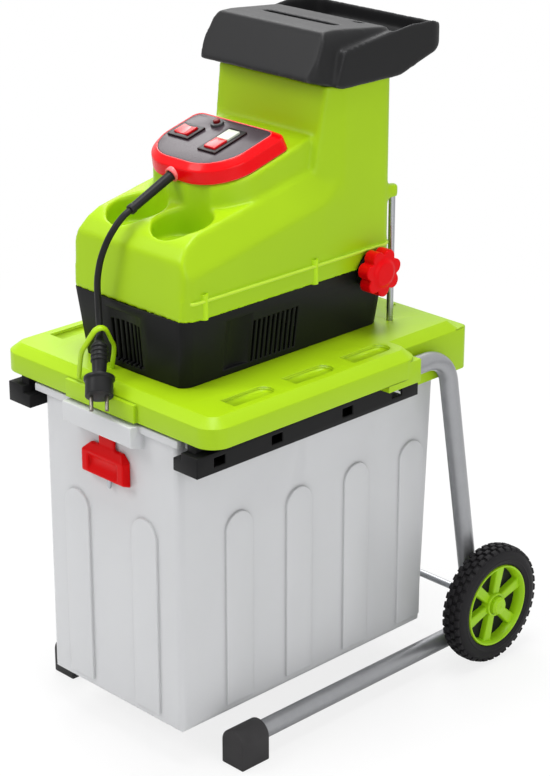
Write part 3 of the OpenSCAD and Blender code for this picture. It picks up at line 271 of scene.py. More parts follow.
plainPlastic = {  # unless a row says otherwise; noise is scale, detail and roughness
    "flow": (7, 3, 0.55), "flowRough": 0.12, "spread": 0.05,     # broad flow marks of the moulding
    "skin": (900, 2, 0.6), "skinRough": 0.06, "bump": 0.12, "depth": 0.0004,   # spark-eroded skin of the tool
    "edgeColour": None, "edgeShade": 1.7, "crestHighlight": 0.0, "paintedShade": 0.6, "paintedShadeReach": 0.007, "paintedShadeTone": 0.4,
    "coat": 0.0, "coatRough": 0.12, "subsurface": 0.0, "scatter": (0.004, 0.004, 0.004),
}
plasticSettings = {
    # the lime's crests are painted paler, a painted highlight
    "lime": {"name": "limePlastic", "colour": (164, 203, 18), "rough": 0.36, "grain": 0.8, "edgeTint": 0.3,
        "edgeRadius": 0.002, "specular": 0.22, "crestHighlight": 0.4},
    # the tray's recess walls get the full painted shade
    "tray": {"name": "trayPlastic", "colour": (164, 203, 18), "rough": 0.38, "grain": 0.8, "edgeTint": 0.4,
        "edgeRadius": 0.0009, "specular": 0.22, "paintedShade": 1.0},
    # the seam bead is the lime painted paler, a painted highlight along the flange's top edge
    "highlightLime": {"name": "seamPlastic", "colour": (190, 222, 62), "rough": 0.34, "grain": 0.6,
        "edgeTint": 0.3, "edgeRadius": 0.0008, "specular": 0.25},
    "hubLime": {"name": "hubPlastic", "colour": (156, 204, 20), "rough": 0.34, "grain": 0.6, "edgeTint": 0.5,
        "edgeRadius": 0.0014, "specular": 0.25},
    "black": {"name": "blackPlastic", "colour": (22, 22, 23), "rough": 0.42, "grain": 1.0, "edgeTint": 0.25,
        "edgeRadius": 0.0014, "specular": 0.11},
    "frame": {"name": "switchFrame", "colour": (20, 18, 19), "rough": 0.3, "grain": 0.5, "edgeTint": 0.8,
        "edgeRadius": 0.0009, "specular": 0.2, "edgeColour": (190, 70, 84)},
    # the hopper's edges and crests are painted lighter grey, a painted highlight
    "hopper": {"name": "greyPlastic", "colour": (30, 30, 31), "rough": 0.44, "grain": 1.6, "edgeTint": 0.3,
        "edgeRadius": 0.0016, "specular": 0.17, "crestHighlight": 0.6, "edgeColour": (112, 112, 114)},
    "plate": {"name": "facePlate", "colour": (62, 52, 58), "rough": 0.28, "grain": 0.5, "edgeTint": 0.2,
        "edgeRadius": 0.001, "specular": 0.2, "coat": 0.12},
    # the bezel's pale pink edges and rim are a painted highlight
    "bezelRed": {"name": "bezelPlastic", "colour": (236, 4, 14), "rough": 0.26, "grain": 0.4,
        "edgeTint": 0.75, "edgeRadius": 0.0022, "specular": 0.1, "coat": 0.15, "crestHighlight": 0.7,
        "edgeColour": (255, 170, 172)},
    "red": {"name": "redPlastic", "colour": (230, 4, 14), "rough": 0.3, "grain": 0.4, "edgeTint": 0.35,
        "edgeRadius": 0.002, "specular": 0.09},
    "glossRed": {"name": "switchPlastic", "colour": (214, 14, 24), "rough": 0.22, "grain": 0.3,
        "edgeTint": 0.6, "edgeRadius": 0.0014, "specular": 0.2, "coat": 0.6},
    "latchRed": {"name": "latchPlastic", "colour": (208, 3, 6), "rough": 0.32, "grain": 0.6, "edgeTint": 0.3,
        "edgeRadius": 0.003, "specular": 0.08},
    "darkRed": {"name": "resetPlastic", "colour": (112, 6, 12), "rough": 0.3, "grain": 0.4, "edgeTint": 0.3,
        "edgeRadius": 0.0008, "specular": 0.2},
    "paleGreen": {"name": "startPlastic", "colour": (206, 214, 196), "rough": 0.3, "grain": 0.4,
        "edgeTint": 0.3, "edgeRadius": 0.001, "specular": 0.3},
    "box": {"name": "milkyPlastic", "colour": (205, 206, 208), "rough": 0.4, "grain": 0.7, "edgeTint": 0.3,
        "edgeRadius": 0.0026, "specular": 0.3, "spread": 0.03, "subsurface": 0.2},
}


def mouldedPlastic(s):
    f = Finish(s["name"])
    colour = linear(*s["colour"])
    # edges and crests are painted lighter, a painted highlight; the switch frames get a red edge line instead
    paintedEdge = linear(*s["edgeColour"]) if s["edgeColour"] else shade(colour, s["edgeShade"])
    where = f.place()
    flow = f.noise(*s["flow"], where)
    skin = f.noise(*s["skin"], where)
    normal = f.softNormal(s["edgeRadius"])
    body = f.mixColour(flow, shade(colour, 1 - s["spread"]), shade(colour, 1 + s["spread"]))
    body = f.mixColour(f.edges(normal) * s["edgeTint"], body, paintedEdge)
    if s["crestHighlight"]:
        body = f.mixColour(f.crests() * s["crestHighlight"], body, paintedEdge)
    # painted shade: the colour is darker deep in grooves, recesses and inner corners
    body = f.mixColour(f.corners(s["paintedShadeReach"]) * s["paintedShade"], body, shade(colour, s["paintedShadeTone"]))
    return f.close(Base_Color=body,
        Roughness=s["rough"] + (flow - 0.5) * s["flowRough"] + (skin - 0.5) * s["skinRough"],
        Normal=f.bump(s["bump"] * s["grain"], s["depth"], skin, normal),
        Coat_Weight=s["coat"], Coat_Roughness=s["coatRough"], Specular_IOR_Level=s["specular"],
        Subsurface_Weight=s["subsurface"], Subsurface_Radius=s["scatter"], Subsurface_Scale=1.0)


plainMetal = {
    "metallic": 1.0, "streak": (60, 4, 0.6), "streakShades": (0.88, 1.08), "streakRough": 0.16,
    "brushed": None, "fine": (1800, 1, 0.5), "fineShare": 0.4, "flake": 0.0, "flakeSpan": (0.62, 0.72),
    "flakeShade": 1.6, "bump": 0.08, "depth": 0.0002, "edgeRadius": 0.0006,
}
metalSettings = {
    "tube": {"name": "silverPaint", "colour": (152, 153, 156), "rough": 0.34, "metallic": 0.7, "flake": 0.25},
    "zinc": {"name": "zincSteel", "colour": (170, 172, 176), "rough": 0.3, "brushed": (1, 1, 8)},
    "cast": {"name": "castSteel", "colour": (120, 121, 124), "rough": 0.48, "flake": 0.1},
    "alloy": {"name": "castAlloy", "colour": (160, 161, 164), "rough": 0.46, "flake": 0.15},
    "copper": {"name": "copperWire", "colour": (166, 98, 60), "rough": 0.38, "brushed": (8, 1, 8)},
    # the pins' nickel is painted darker than bright plating: painted shade for the dark surroundings it
    # reflects
    "shadedNickel": {"name": "nickelPin", "colour": (118, 114, 106), "rough": 0.3},
}


def metalFinish(s):
    f = Finish(s["name"])
    colour = linear(*s["colour"])
    where = drawn = f.place()
    if s["brushed"]:
        drawn = f.node("ShaderNodeMapping", None, {"Vector": where, "Scale": s["brushed"]})
    streak = f.noise(*s["streak"], drawn)
    fine = f.noise(*s["fine"], where)
    body = f.mixColour(streak, *(shade(colour, k) for k in s["streakShades"]))
    body = f.mixColour(fine.span(*s["flakeSpan"]) * s["flake"], body, shade(colour, s["flakeShade"]))
    return f.close(Base_Color=body, Metallic=s["metallic"],
        Roughness=s["rough"] + (streak - 0.5) * s["streakRough"],
        Normal=f.bump(s["bump"], s["depth"], streak + fine * s["fineShare"], f.softNormal(s["edgeRadius"])))


plainRubber = {
    "cloud": (24, 3, 0.6), "cloudShades": (0.75, 1.3), "cloudRough": 0.15,
    "fine": (500, 3, 0.6), "bump": 0.2, "depth": 0.0005,
    "edgeRadius": 0.0009, "edgeTint": 0.35, "edgeShade": 3.2, "specular": 0.16,
}
rubberSettings = {
    "rubber": {"name": "tyreRubber", "colour": (27, 26, 28), "rough": 0.6},
    "foot": {"name": "footRubber", "colour": (54, 53, 54), "rough": 0.55},
    "cable": {"name": "cableRubber", "colour": (30, 30, 31), "rough": 0.4},
}


def rubberFinish(s):
    f = Finish(s["name"])
    colour = linear(*s["colour"])
    where = f.place()
    fine = f.noise(*s["fine"], where)
    cloud = f.noise(*s["cloud"], where)
    normal = f.softNormal(s["edgeRadius"])
    body = f.mixColour(cloud, *(shade(colour, k) for k in s["cloudShades"]))
    body = f.mixColour(f.edges(normal) * s["edgeTint"], body, shade(colour, s["edgeShade"]))
    return f.close(Base_Color=body, Roughness=s["rough"] + (cloud - 0.5) * s["cloudRough"],
        Specular_IOR_Level=s["specular"], Normal=f.bump(s["bump"], s["depth"], fine, normal))


finishes = {}
for make, plain, rows in (
        (mouldedPlastic, plainPlastic, plasticSettings),
        (rubberFinish, plainRubber, rubberSettings),
        (metalFinish, plainMetal, metalSettings)):
    for key, row in rows.items():
        finishes[key] = make({**plain, **row})
print("stage:", len(finishes), "finishes")


# making pieces

def settle(name, mesh, finish, body, *stoodFor):
    # a finished mesh becomes a piece that moves with its body
    mesh.name = name
    mesh.materials.clear()
    mesh.materials.append(finishes[finish])
    piece = linked(name, mesh)
    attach(piece, body)
    if stoodFor:
        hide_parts(*stoodFor)
    return piece


def paint(finish, *nodes):
    for node in nodes:
        mesh = cad[node].data
        mesh.materials.clear()
        mesh.materials.append(finishes[finish])


def smooth(mesh, angle):
    mesh.polygons.foreach_set("use_smooth", [True] * len(mesh.polygons))
    mesh.set_sharp_from_angle(angle=math.radians(angle))
    return mesh


def flatten(obj):
    # modifiers applied, object gone
    bpy.context.view_layer.update()
    graph = bpy.context.evaluated_depsgraph_get()
    mesh = bpy.data.meshes.new_from_object(obj.evaluated_get(graph), preserve_all_data_layers=True,
        depsgraph=graph)
    bpy.data.objects.remove(obj)
    return mesh


def meshOf(bm, name):
    mesh = bpy.data.meshes.new(name)
    bm.to_mesh(mesh)
    bm.free()
    return mesh


def meshOfPoints(name, points, edges=()):
    mesh = bpy.data.meshes.new(name)
    mesh.from_pydata(points, edges, [])
    return mesh


def ring(centre, u, v, count):
    # points round a centre, with u and v as half axes
    turns = (fullTurn * k / count for k in range(count))
    return [centre + u * math.cos(a) + v * math.sin(a) for a in turns]


def skinned(rings, ends=True):
    # closed skin over rings of points; without ends the last ring meets the first
    bm = bmesh.new()
    rows = [[bm.verts.new(p) for p in points] for points in rings]
    n = len(rows[0])
    for a, b in zip(rows, rows[1:] if ends else rows[1:] + rows[:1]):
        for k in range(n):
            bm.faces.new((a[k], a[(k + 1) % n], b[(k + 1) % n], b[k]))
    if ends:
        bm.faces.new(rows[0])
        bm.faces.new(rows[-1])
    bmesh.ops.recalc_face_normals(bm, faces=bm.faces)
    return meshOf(bm, "skin")


def directions(line):
    # the way ahead at each point
    last = len(line) - 1
    return [(line[min(i + 1, last)] - line[max(i - 1, 0)]).normalized() for i in range(len(line))]


def throughPoints(points, steps):
    # smooth line through every point
    full = [2 * points[0] - points[1]] + points + [2 * points[-1] - points[-2]]
    line = []
    for a, b, c, d in zip(full, full[1:], full[2:], full[3:]):
        for k in range(steps):
            t = k / steps
            line.append(0.5 * ((2 * b) + (c - a) * t + (2 * a - 5 * b + 4 * c - d) * t ** 2
                + (3 * b - a - 3 * c + d) * t ** 3))
    return line + [points[-1]]


def lathe(profile, centre, way, count):
    # closed ring turned about the x axis; profile is radius and distance along it
    turns = [fullTurn * k / count for k in range(count)]
    return skinned([[(centre[0] + way * t, centre[1] - r * math.sin(a), centre[2] + r * math.cos(a))
        for r, t in profile] for a in turns], ends=False)


mergeSettings = {"weld": 0.00002, "straight": 1.0}


def mergedCopy(node):
    s = mergeSettings
    mesh = cad[node].data.copy()
    bm = bmesh.new()
    bm.from_mesh(mesh)
    bmesh.ops.remove_doubles(bm, verts=bm.verts, dist=s["weld"])
    bmesh.ops.dissolve_degenerate(bm, edges=bm.edges, dist=s["weld"])
    bmesh.ops.dissolve_limit(bm, angle_limit=math.radians(s["straight"]), verts=bm.verts, edges=bm.edges)
    bm.to_mesh(mesh)
    bm.free()
    mesh.materials.clear()
    return mesh


def flatRegions(bm, sharp):
    # face index to the number of its stretch between sharp edges
    region = {}
    for start in bm.faces:
        if start.index in region:
            continue
        region[start.index] = start.index
        queue = [start]
        while queue:
            for e in queue.pop().edges:
                for other in () if e in sharp else e.link_faces:
                    if other.index not in region:
                        region[other.index] = start.index
                        queue.append(other)
    return region


roomSettings = {
    "plenty": 9.0, "share": 0.44, "endShare": 0.46, "leastBend": 0.05, "facing": 0.3, "corner": 0.45,
    "tests": (0.2, 0.5, 0.8),
}


def edgeRoom(bm, sharp, width):
    # how much of the wanted radius each sharp edge has room for, 0 to 1
    s = roomSettings
    region = flatRegions(bm, sharp)
    borders = {}
    for e in sharp:
        for loop in e.link_loops:
            ahead = loop.link_loop_next.vert.co - loop.vert.co
            borders.setdefault(region[loop.face.index], []).append((e, ahead.normalized(), ahead.length))
    room = {e: s["plenty"] for e in sharp}
    for rows in borders.values():
        a = np.array([e.verts[0].co for e, _, _ in rows])
        b = np.array([e.verts[1].co for e, _, _ in rows])
        way = np.array([d for _, d, _ in rows])
        ends = np.array([(e.verts[0].index, e.verts[1].index) for e, _, _ in rows])
        run = b - a
        size = np.maximum((run * run).sum(1), 1e-16)
        for i, (e, _, length) in enumerate(rows):
            shared = (ends == ends[i, 0]).any(1) | (ends == ends[i, 1]).any(1)
            apart = (way @ way[i] < s["facing"]) & ~shared
            for t in s["tests"] if apart.any() else ():
                p = a[i] + run[i] * t
                k = np.clip(((p - a) * run).sum(1) / size, 0, 1)
                gap = np.linalg.norm(a + run * k[:, None] - p, axis=1)
                room[e] = min(room[e], gap[apart].min() * s["share"])
            for j in np.nonzero(shared)[0]:
                bend = math.acos(max(-1.0, min(1.0, way[i] @ way[j])))   # 0 along a straight run
                if rows[j][0] is e or bend < s["corner"]:
                    continue
                room[e] = min(room[e], s["share"] * rows[j][2] * math.sin(min(bend, quarterTurn)),
                    s["endShare"] * length / max(math.tan(bend / 2), s["leastBend"]))
    return {e: max(0.0, min(1.0, r / width)) for e, r in room.items()}


bevelSettings = {"segments": 3, "innerShare": 0.3, "stray": 0.6, "smooth": 40}


def rounded(node, edge, finish, angle=30, even=False, cuts=()):
    # the node's own solid with its edges rounded; cuts are shares of its box, for x, y and z
    s = bevelSettings
    base = mergedCopy(node)
    solid = BVHTree.FromPolygons([v.co for v in base.vertices], [p.vertices for p in base.polygons])
    bm = bmesh.new()
    bm.from_mesh(base)
    low, high = (Vector(c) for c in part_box(node))
    for k, shares in enumerate(cuts):      # a flat rim all the way round becomes simple stretches
        for share in shares:
            bmesh.ops.bisect_plane(bm, geom=bm.verts[:] + bm.edges[:] + bm.faces[:], dist=1e-6,
                plane_co=low.lerp(high, share), plane_no=[float(k == axis) for axis in range(3)])
    weight = bm.edges.layers.float.new("bevel_weight_edge")
    bm.verts.index_update()
    bm.faces.index_update()
    sharp = {e for e in bm.edges if len(e.link_faces) == 2 and e.calc_face_angle(0) > math.radians(angle)}
    room = {} if even else edgeRoom(bm, sharp, edge)
    for e in sharp:
        e[weight] = room.get(e, 1.0) * (1.0 if even or e.is_convex else s["innerShare"])
    bm.to_mesh(base)
    bm.free()
    base.polygons.foreach_set("use_smooth", [True] * len(base.polygons))
    obj = linked("rough_" + node, base)
    bevel = obj.modifiers.new("edges", "BEVEL")
    bevel.width, bevel.segments, bevel.limit_method = edge, s["segments"], "WEIGHT"
    bevel.use_clamp_overlap = False
    bevel.loop_slide = False
    mesh = flatten(obj)
    strays = 0
    for v in mesh.vertices:  # a corner too tight for its radius stays on the solid
        spot, _, _, away = solid.find_nearest(v.co)
        if away > edge * s["stray"]:
            v.co = spot
            strays += 1
    if strays:
        print("  ", node, "corners held:", strays)
    return settle(node + ".moulded", smooth(mesh, s["smooth"]), finish, bodyOf[node], node)


softSettings = {"askew": (0.61, 0.43, 0.35), "pull": 0.5, "rimReach": 0.0013, "smooth": 60}


def melted(node, finish, voxel, passes, above=None, more=0, share=1.0, fills=(), rim=None):
    # the node's own solid with every edge and corner drawn round, as a deep moulding has them
    s = softSettings
    askew = Euler(s["askew"]).to_matrix().to_4x4()      # no long edge runs along the voxels
    base = mergedCopy(node)
    bm = bmesh.new()
    bm.from_mesh(base)
    for corners in fills:       # flush wedges, on both sides
        for way, _ in bothSides:
            wedge = [bm.verts.new(Vector((way * x, y, z)) * mm) for x, y, z in corners]
            bmesh.ops.convex_hull(bm, input=wedge)
    bm.to_mesh(base)
    bm.free()
    base.transform(askew)
    obj = linked("rough_" + node, base)
    skin = obj.modifiers.new("skin", "REMESH")
    skin.mode, skin.voxel_size, skin.use_smooth_shade = "VOXEL", voxel, True
    mesh = flatten(obj)
    mesh.transform(askew.inverted())
    bm = bmesh.new()
    bm.from_mesh(mesh)
    for k in range(passes + more):
        soft = bm.verts[:] if k < passes else [v for v in bm.verts if v.co.z > above]
        bmesh.ops.smooth_vert(bm, verts=soft, factor=s["pull"], use_axis_x=True, use_axis_y=True,
            use_axis_z=True)
    for v in bm.verts:
        if rim and v.co.z < rim + s["rimReach"]:    # straight lower edge
            v.co.z = rim
    bm.to_mesh(mesh)
    bm.free()
    if share < 1:
        obj = linked("thin_" + node, mesh)
        obj.modifiers.new("fewer", "DECIMATE").ratio = share
        mesh = flatten(obj)
    print("  ", node, "faces:", len(mesh.polygons))
    return settle(node + ".moulded", smooth(mesh, s["smooth"]), finish, bodyOf[node], node)


# mains cord

cordSettings = {
    "route": [(-9, -234, 705), (-9.5, -242.5, 700.8), (-11, -250.5, 693.8), (-13.5, -257.5, 684.4),
        (-17.5, -262.5, 673.2), (-21.5, -266, 660.9), (-25.5, -268.5, 647.6), (-29, -269.5, 634),
        (-31.5, -270, 620), (-33, -269.5, 605.9), (-33, -269, 592.5), (-32, -269.5, 579.6),
        (-29, -271.5, 567.7), (-24.3, -275.3, 557.4), (-18, -281, 549)],    # mm
    "diameter": 0.0085, "steps": 4, "roundness": 6, "plugEdge": 0.0007, "sleeveEdge": 0.0006, "edgeAngle": 28,
}


def makeCord(s):
    line = throughPoints([Vector(p) * mm for p in s["route"]], s["steps"])
    curve = bpy.data.curves.new("mainsCord", "CURVE")
    curve.dimensions = "3D"
    curve.bevel_depth, curve.bevel_resolution, curve.use_fill_caps = s["diameter"] / 2, s["roundness"], True
    spline = curve.splines.new("POLY")
    spline.points.add(len(line) - 1)
    for point, p in zip(spline.points, line):
        point.co = (*p, 1)
    curve.materials.append(finishes["cable"])
    cord = linked("mainsCord", curve)
    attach(cord, "chassis")
    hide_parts("power_cord")
    plug = rounded("plug", s["plugEdge"], "cable", s["edgeAngle"])
    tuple(line[0])
    sum((b - a).length for a, b in zip(line, line[1:]))
    rounded("cord_sleeve", s["sleeveEdge"], "cable", s["edgeAngle"])


makeCord(cordSettings)
paint("shadedNickel", "plug_pins")
print("stage: cord")


# side tubes

tubeSettings = {
    "socket": (0.184, 0.469), "leg": (0.169, 0.033), "radius": 0.0125, "front": 0.0193, "bendAt": 0.140,
    "axle": (0.221, 0.085), "upperBend": 0.050, "lowerBend": 0.036, "footEnd": -0.219,
    "bendSteps": 24, "sides": 48, "smooth": 32,
}


def bendPoints(centre, radius, start, sweep, steps):
    turns = (start - sweep * k / steps for k in range(steps + 1))
    return [centre + radius * Vector((math.cos(a), math.sin(a))) for a in turns]


def makeTubes(s):
    x, z = s["socket"]
    splay = math.atan2(x - s["leg"][0], z - s["leg"][1])
    drop = (z - s["leg"][1]) / math.cos(splay)
    lean = math.atan2(s["axle"][0] - s["bendAt"], (z - s["axle"][1]) / math.cos(splay))
    low = s["bendAt"] + drop * math.tan(lean)
    up = Vector((s["bendAt"] - s["upperBend"] * math.tan((quarterTurn - lean) / 2), -s["upperBend"]))
    down = Vector((low - s["lowerBend"] * math.tan((quarterTurn + lean) / 2), s["lowerBend"] - drop))
    flat = [Vector((s["front"], 0))]
    flat += bendPoints(up, s["upperBend"], quarterTurn, quarterTurn - lean, s["bendSteps"])
    flat += bendPoints(down, s["lowerBend"], lean, quarterTurn + lean, s["bendSteps"])
    flat.append(Vector((s["footEnd"], -drop)))
    for way, name in bothSides:
        line = [Vector((way * (x + p.y * math.sin(splay)), p.x, z + p.y * math.cos(splay))) for p in flat]
        rings = []
        across = None
        for p, ahead in zip(line, directions(line)):
            across = ahead.orthogonal() if across is None else across - ahead * across.dot(ahead)
            across.normalize()
            rings.append(ring(p, across * s["radius"], ahead.cross(across) * s["radius"], s["sides"]))
        settle("tube." + name, smooth(skinned(rings), s["smooth"]), "tube", "chassis", "side_tube_" + name)


makeTubes(tubeSettings)
print("stage: tubes")


# wheels

wheelSettings = {
    "inner": 0.1893, "width": 0.034, "axle": (0.221, 0.085),
    "flank": [(0.0588, 0.004), (0.0606, 0.0018), (0.0640, 0.0006), (0.0655, 0.0003), (0.0664, -0.0003),
        (0.0673, 0.0002), (0.0690, 0), (0.0735, 0.0004), (0.0772, 0.0018), (0.0796, 0.0042), (0.0808, 0.0080),
        (0.0813, 0.0125), (0.0815, 0.017)],   # radius, distance from the side
    "blocks": 38, "rows": 4, "spacing": 0.0077, "blockTop": 0.0849,
    "shoulderDrop": 0.0016, "shoulderTilt": 0.30,
    "block": (0.0068, 0.0098, 0.0052), "blockTaper": 0.88, "blockRound": 0.0007,
    "rim": [(0.0588, 0.005), (0.0588, 0.0306), (0.0584, 0.0322), (0.0577, 0.033), (0.0566, 0.033),
        (0.0558, 0.0324), (0.0530, 0.024), (0.0522, 0.0176), (0.0522, 0.005)],
    "boss": [(0.0052, 0.001), (0.017, 0.001), (0.017, 0.0286), (0.0164, 0.0296), (0.0154, 0.03),
        (0.0137, 0.03), (0.0137, 0.0262), (0.0052, 0.0262)],
    # core: black disc behind the spokes, so the gaps between them read dark
    "core": [(0.0165, 0.0140), (0.0527, 0.0140), (0.0527, 0.0172), (0.0165, 0.0172)],
    "spokes": 6, "spokeTurn": -0.2356, "spokeTaper": 0.9, "spokeRound": 0.0024,
    "spoke": {"low": 0.0150, "high": 0.0535, "wideLow": 0.0066, "wideHigh": 0.0088, "back": 0.0150,
        "front": 0.0262},
    "tyreSides": 120, "bossSides": 64,
}


def treadBlock(s):
    # block with drawn-in sides and a worn top, hanging from its top
    long, wide, deep = s["block"]
    bm = bmesh.new()
    bmesh.ops.create_cube(bm, size=1)
    for v in bm.verts:
        k = s["blockTaper"] if v.co.z > 0 else 1.0
        v.co = Vector((v.co.x * long * k, v.co.y * wide * k, (v.co.z - 0.5) * deep))
    top = [e for e in bm.edges if all(v.co.z > -deep / 2 for v in e.verts)]
    bmesh.ops.bevel(bm, geom=top, offset=s["blockRound"], segments=2, affect="EDGES", profile=0.5)
    return meshOf(bm, "block")


def spokeBar(s, way):
    # tapered bar with a rounded front, hanging from its outer end
    bar, half = s["spoke"], s["width"] / 2
    back, front = way * (bar["back"] - half), way * (bar["front"] - half)
    bm = bmesh.new()
    ends = []
    for z, w in ((bar["low"] - bar["high"], bar["wideLow"]), (0, bar["wideHigh"])):
        narrow = w * s["spokeTaper"]
        corners = ((back, -w), (back, w), (front, narrow), (front, -narrow))
        ends.append([bm.verts.new((x, y, z)) for x, y in corners])
    low, high = ends
    for k in range(4):
        bm.faces.new((low[k], low[(k + 1) % 4], high[(k + 1) % 4], high[k]))
    bm.faces.new(low[::-1])
    bm.faces.new(high)
    bmesh.ops.recalc_face_normals(bm, faces=bm.faces)
    edge = [e for e in bm.edges if {*e.verts} in ({low[2], high[2]}, {low[3], high[3]})]
    bmesh.ops.bevel(bm, geom=edge, offset=s["spokeRound"], segments=4, affect="EDGES", profile=0.5)
    return meshOf(bm, "spoke")


def treadRepeat():
    # rows of blocks standing round the axle
    g = Repeat("treadRows", Blocks="Int", Rows="Int", Radius="Float", Spacing="Float", Drop="Float",
        Tilt="Float", Start="Float", Centre="Vector")
    blocks, rows = g.given("Blocks"), g.given("Rows")
    index = g.node("GeometryNodeInputIndex")
    row = g.node("ShaderNodeMath", {"operation": "FLOOR"}, {0: (index + 0.001) / blocks})   # never just under
    place = row - (rows - 1) / 2
    shoulder = g.node("ShaderNodeMath", {"operation": "GREATER_THAN"}, {0: place * place, 1: 1.0})
    side = g.node("ShaderNodeMath", {"operation": "SIGN"}, {0: place})
    turn = (index + row * 0.5) * fullTurn / blocks + g.given("Start")
    points = g.node("GeometryNodePoints", None, {"Count": blocks * rows,
        "Position": g.vector(x=place * g.given("Spacing"), z=g.given("Radius") - shoulder * g.given("Drop"))})
    placed = g.onPoints(points, g.given("Geometry"), Rotation=g.vector(y=side * shoulder * g.given("Tilt")))
    turned = g.node("GeometryNodeRotateInstances", None,
        {"Instances": placed, "Rotation": g.vector(x=turn), "Local Space": False})
    g.close(g.node("GeometryNodeTransform", None, {"Geometry": turned, "Translation": g.given("Centre")}))
    return g


def makeWheels(s):
    tread = treadRepeat()
    tyre = s["flank"] + [(r, s["width"] - t) for r, t in reversed(s["flank"][:-1])]
    for way, side in bothSides:
        body = "wheel_" + side
        inner = (way * s["inner"], *s["axle"])
        middle = (way * (s["inner"] + s["width"] / 2), *s["axle"])
        carcass = lathe(tyre, inner, way, s["tyreSides"])
        rim, boss, core = (lathe(s[name], inner, way, s[count])
            for name, count in (("rim", "tyreSides"), ("boss", "bossSides"), ("core", "bossSides")))
        settle("tyre." + side, smooth(carcass, angle=40), "rubber", body, "tyre_" + side)
        blocks = tread.make(treadBlock(s), "rubber", Blocks=s["blocks"], Rows=s["rows"], Radius=s["blockTop"],
            Spacing=s["spacing"], Drop=s["shoulderDrop"], Tilt=s["shoulderTilt"], Start=0.0, Centre=middle)
        settle("tread." + side, smooth(blocks, angle=30), "rubber", body)
        spokes = tread.make(spokeBar(s, way), "hubLime", Blocks=s["spokes"], Rows=1,
            Radius=s["spoke"]["high"], Spacing=0.0, Drop=0.0, Tilt=0.0, Start=s["spokeTurn"], Centre=middle)
        settle("rim." + side, smooth(rim, angle=35), "hubLime", body, "hub_" + side)
        for name, mesh, finish, slot in (
                ("boss.", boss, "hubLime", "lime_plastic"),
                ("spokes.", spokes, "hubLime", "lime_plastic"),
                ("core.", core, "black", "black_plastic")):
            settle(name + side, smooth(mesh, angle=35), finish, body)


makeWheels(wheelSettings)
print("stage: wheels")


# housing screws

screwSettings = {
    "places": [(x, y, 0.608) for x in (-0.1005, 0.1005) for y in (-0.218, -0.028)],
    "head": 0.0039, "height": 0.0026, "socket": 0.0019, "shank": 0.0019, "length": 0.027,
    "headSides": 32, "shankSides": 20, "taper": 0.78,
    "socketDepth": 1.4, "socketMiddle": 1.1, "shankIn": 0.1,     # shares of the head's height
}


def screwRepeat(s):
    # tapered heads with a hexagon socket, and their shanks
    g = Repeat("screws", Head="Float", Height="Float", Socket="Float", Shank="Float", Length="Float")
    head, high, length = g.given("Head"), g.given("Height"), g.given("Length")
    cone = g.node("GeometryNodeMeshCone", None, {"Vertices": s["headSides"], "Radius Top": head * s["taper"],
        "Radius Bottom": head, "Depth": high}, "Mesh")
    hexagon = g.lifted(g.cylinder(6, g.given("Socket"), high * s["socketDepth"]), high * s["socketMiddle"])
    shank = g.cylinder(s["shankSides"], g.given("Shank"), length)
    shank = g.lifted(shank, length * -0.5 + high * s["shankIn"])
    whole = g.node("GeometryNodeJoinGeometry", None, {0: [g.cut(cone, hexagon), shank]})
    g.close(g.onPoints(g.given("Geometry"), whole))
    return g


def makeScrews(s):
    places = meshOfPoints("places", s["places"])
    screws = screwRepeat(s).make(places, "zinc", Head=s["head"], Height=s["height"], Socket=s["socket"],
        Shank=s["shank"], Length=s["length"])
    settle("screws", smooth(screws, angle=30), "zinc", "chassis", "housing_screws")


makeScrews(screwSettings)
print("stage: screws")


# seam between the two housings: a bead on the flange, painted paler lime as a painted highlight, and the lugs
# round the screws

seamSettings = {
    "half": 0.1084, "front": -0.239, "rear": 0.1158, "corner": 0.020, "nose": -0.251, "z": 0.6128,
    "bead": 0.0021, "beadSides": 12, "steps": 8, "tuck": (0.005, 0.0005),
    "lug": 0.0068, "lugLow": 0.5888, "lugTop": 0.6215, "bore": 0.0046, "boreDepth": 0.0130, "stretch": 1.5,
    "lugSides": 40,
}


def beadRepeat(s):
    # round strip along a path
    g = Repeat("seamBead", Radius="Float")
    path = g.node("GeometryNodeMeshToCurve", None, {"Mesh": g.given("Geometry")})
    section = g.node("GeometryNodeCurvePrimitiveCircle", None,
        {"Resolution": s["beadSides"], "Radius": g.given("Radius")})
    g.close(g.node("GeometryNodeCurveToMesh", None,
        {"Curve": path, "Profile Curve": section, "Fill Caps": True}))
    return g


def lugRepeat(s):
    # oval posts, bored from the top
    g = Repeat("seamLugs", Radius="Float", Height="Float", Bore="Float", Depth="Float", Stretch="Float")
    high = g.given("Height")
    bore = g.lifted(g.cylinder(s["lugSides"], g.given("Bore"), g.given("Depth") * 2), high * 0.5)
    post = g.cut(g.cylinder(s["lugSides"], g.given("Radius"), high), bore)
    wide = g.node("GeometryNodeTransform", None,
        {"Geometry": post, "Scale": g.vector(x=g.given("Stretch"), y=1.0, z=1.0)})
    g.close(g.onPoints(g.given("Geometry"), wide))
    return g


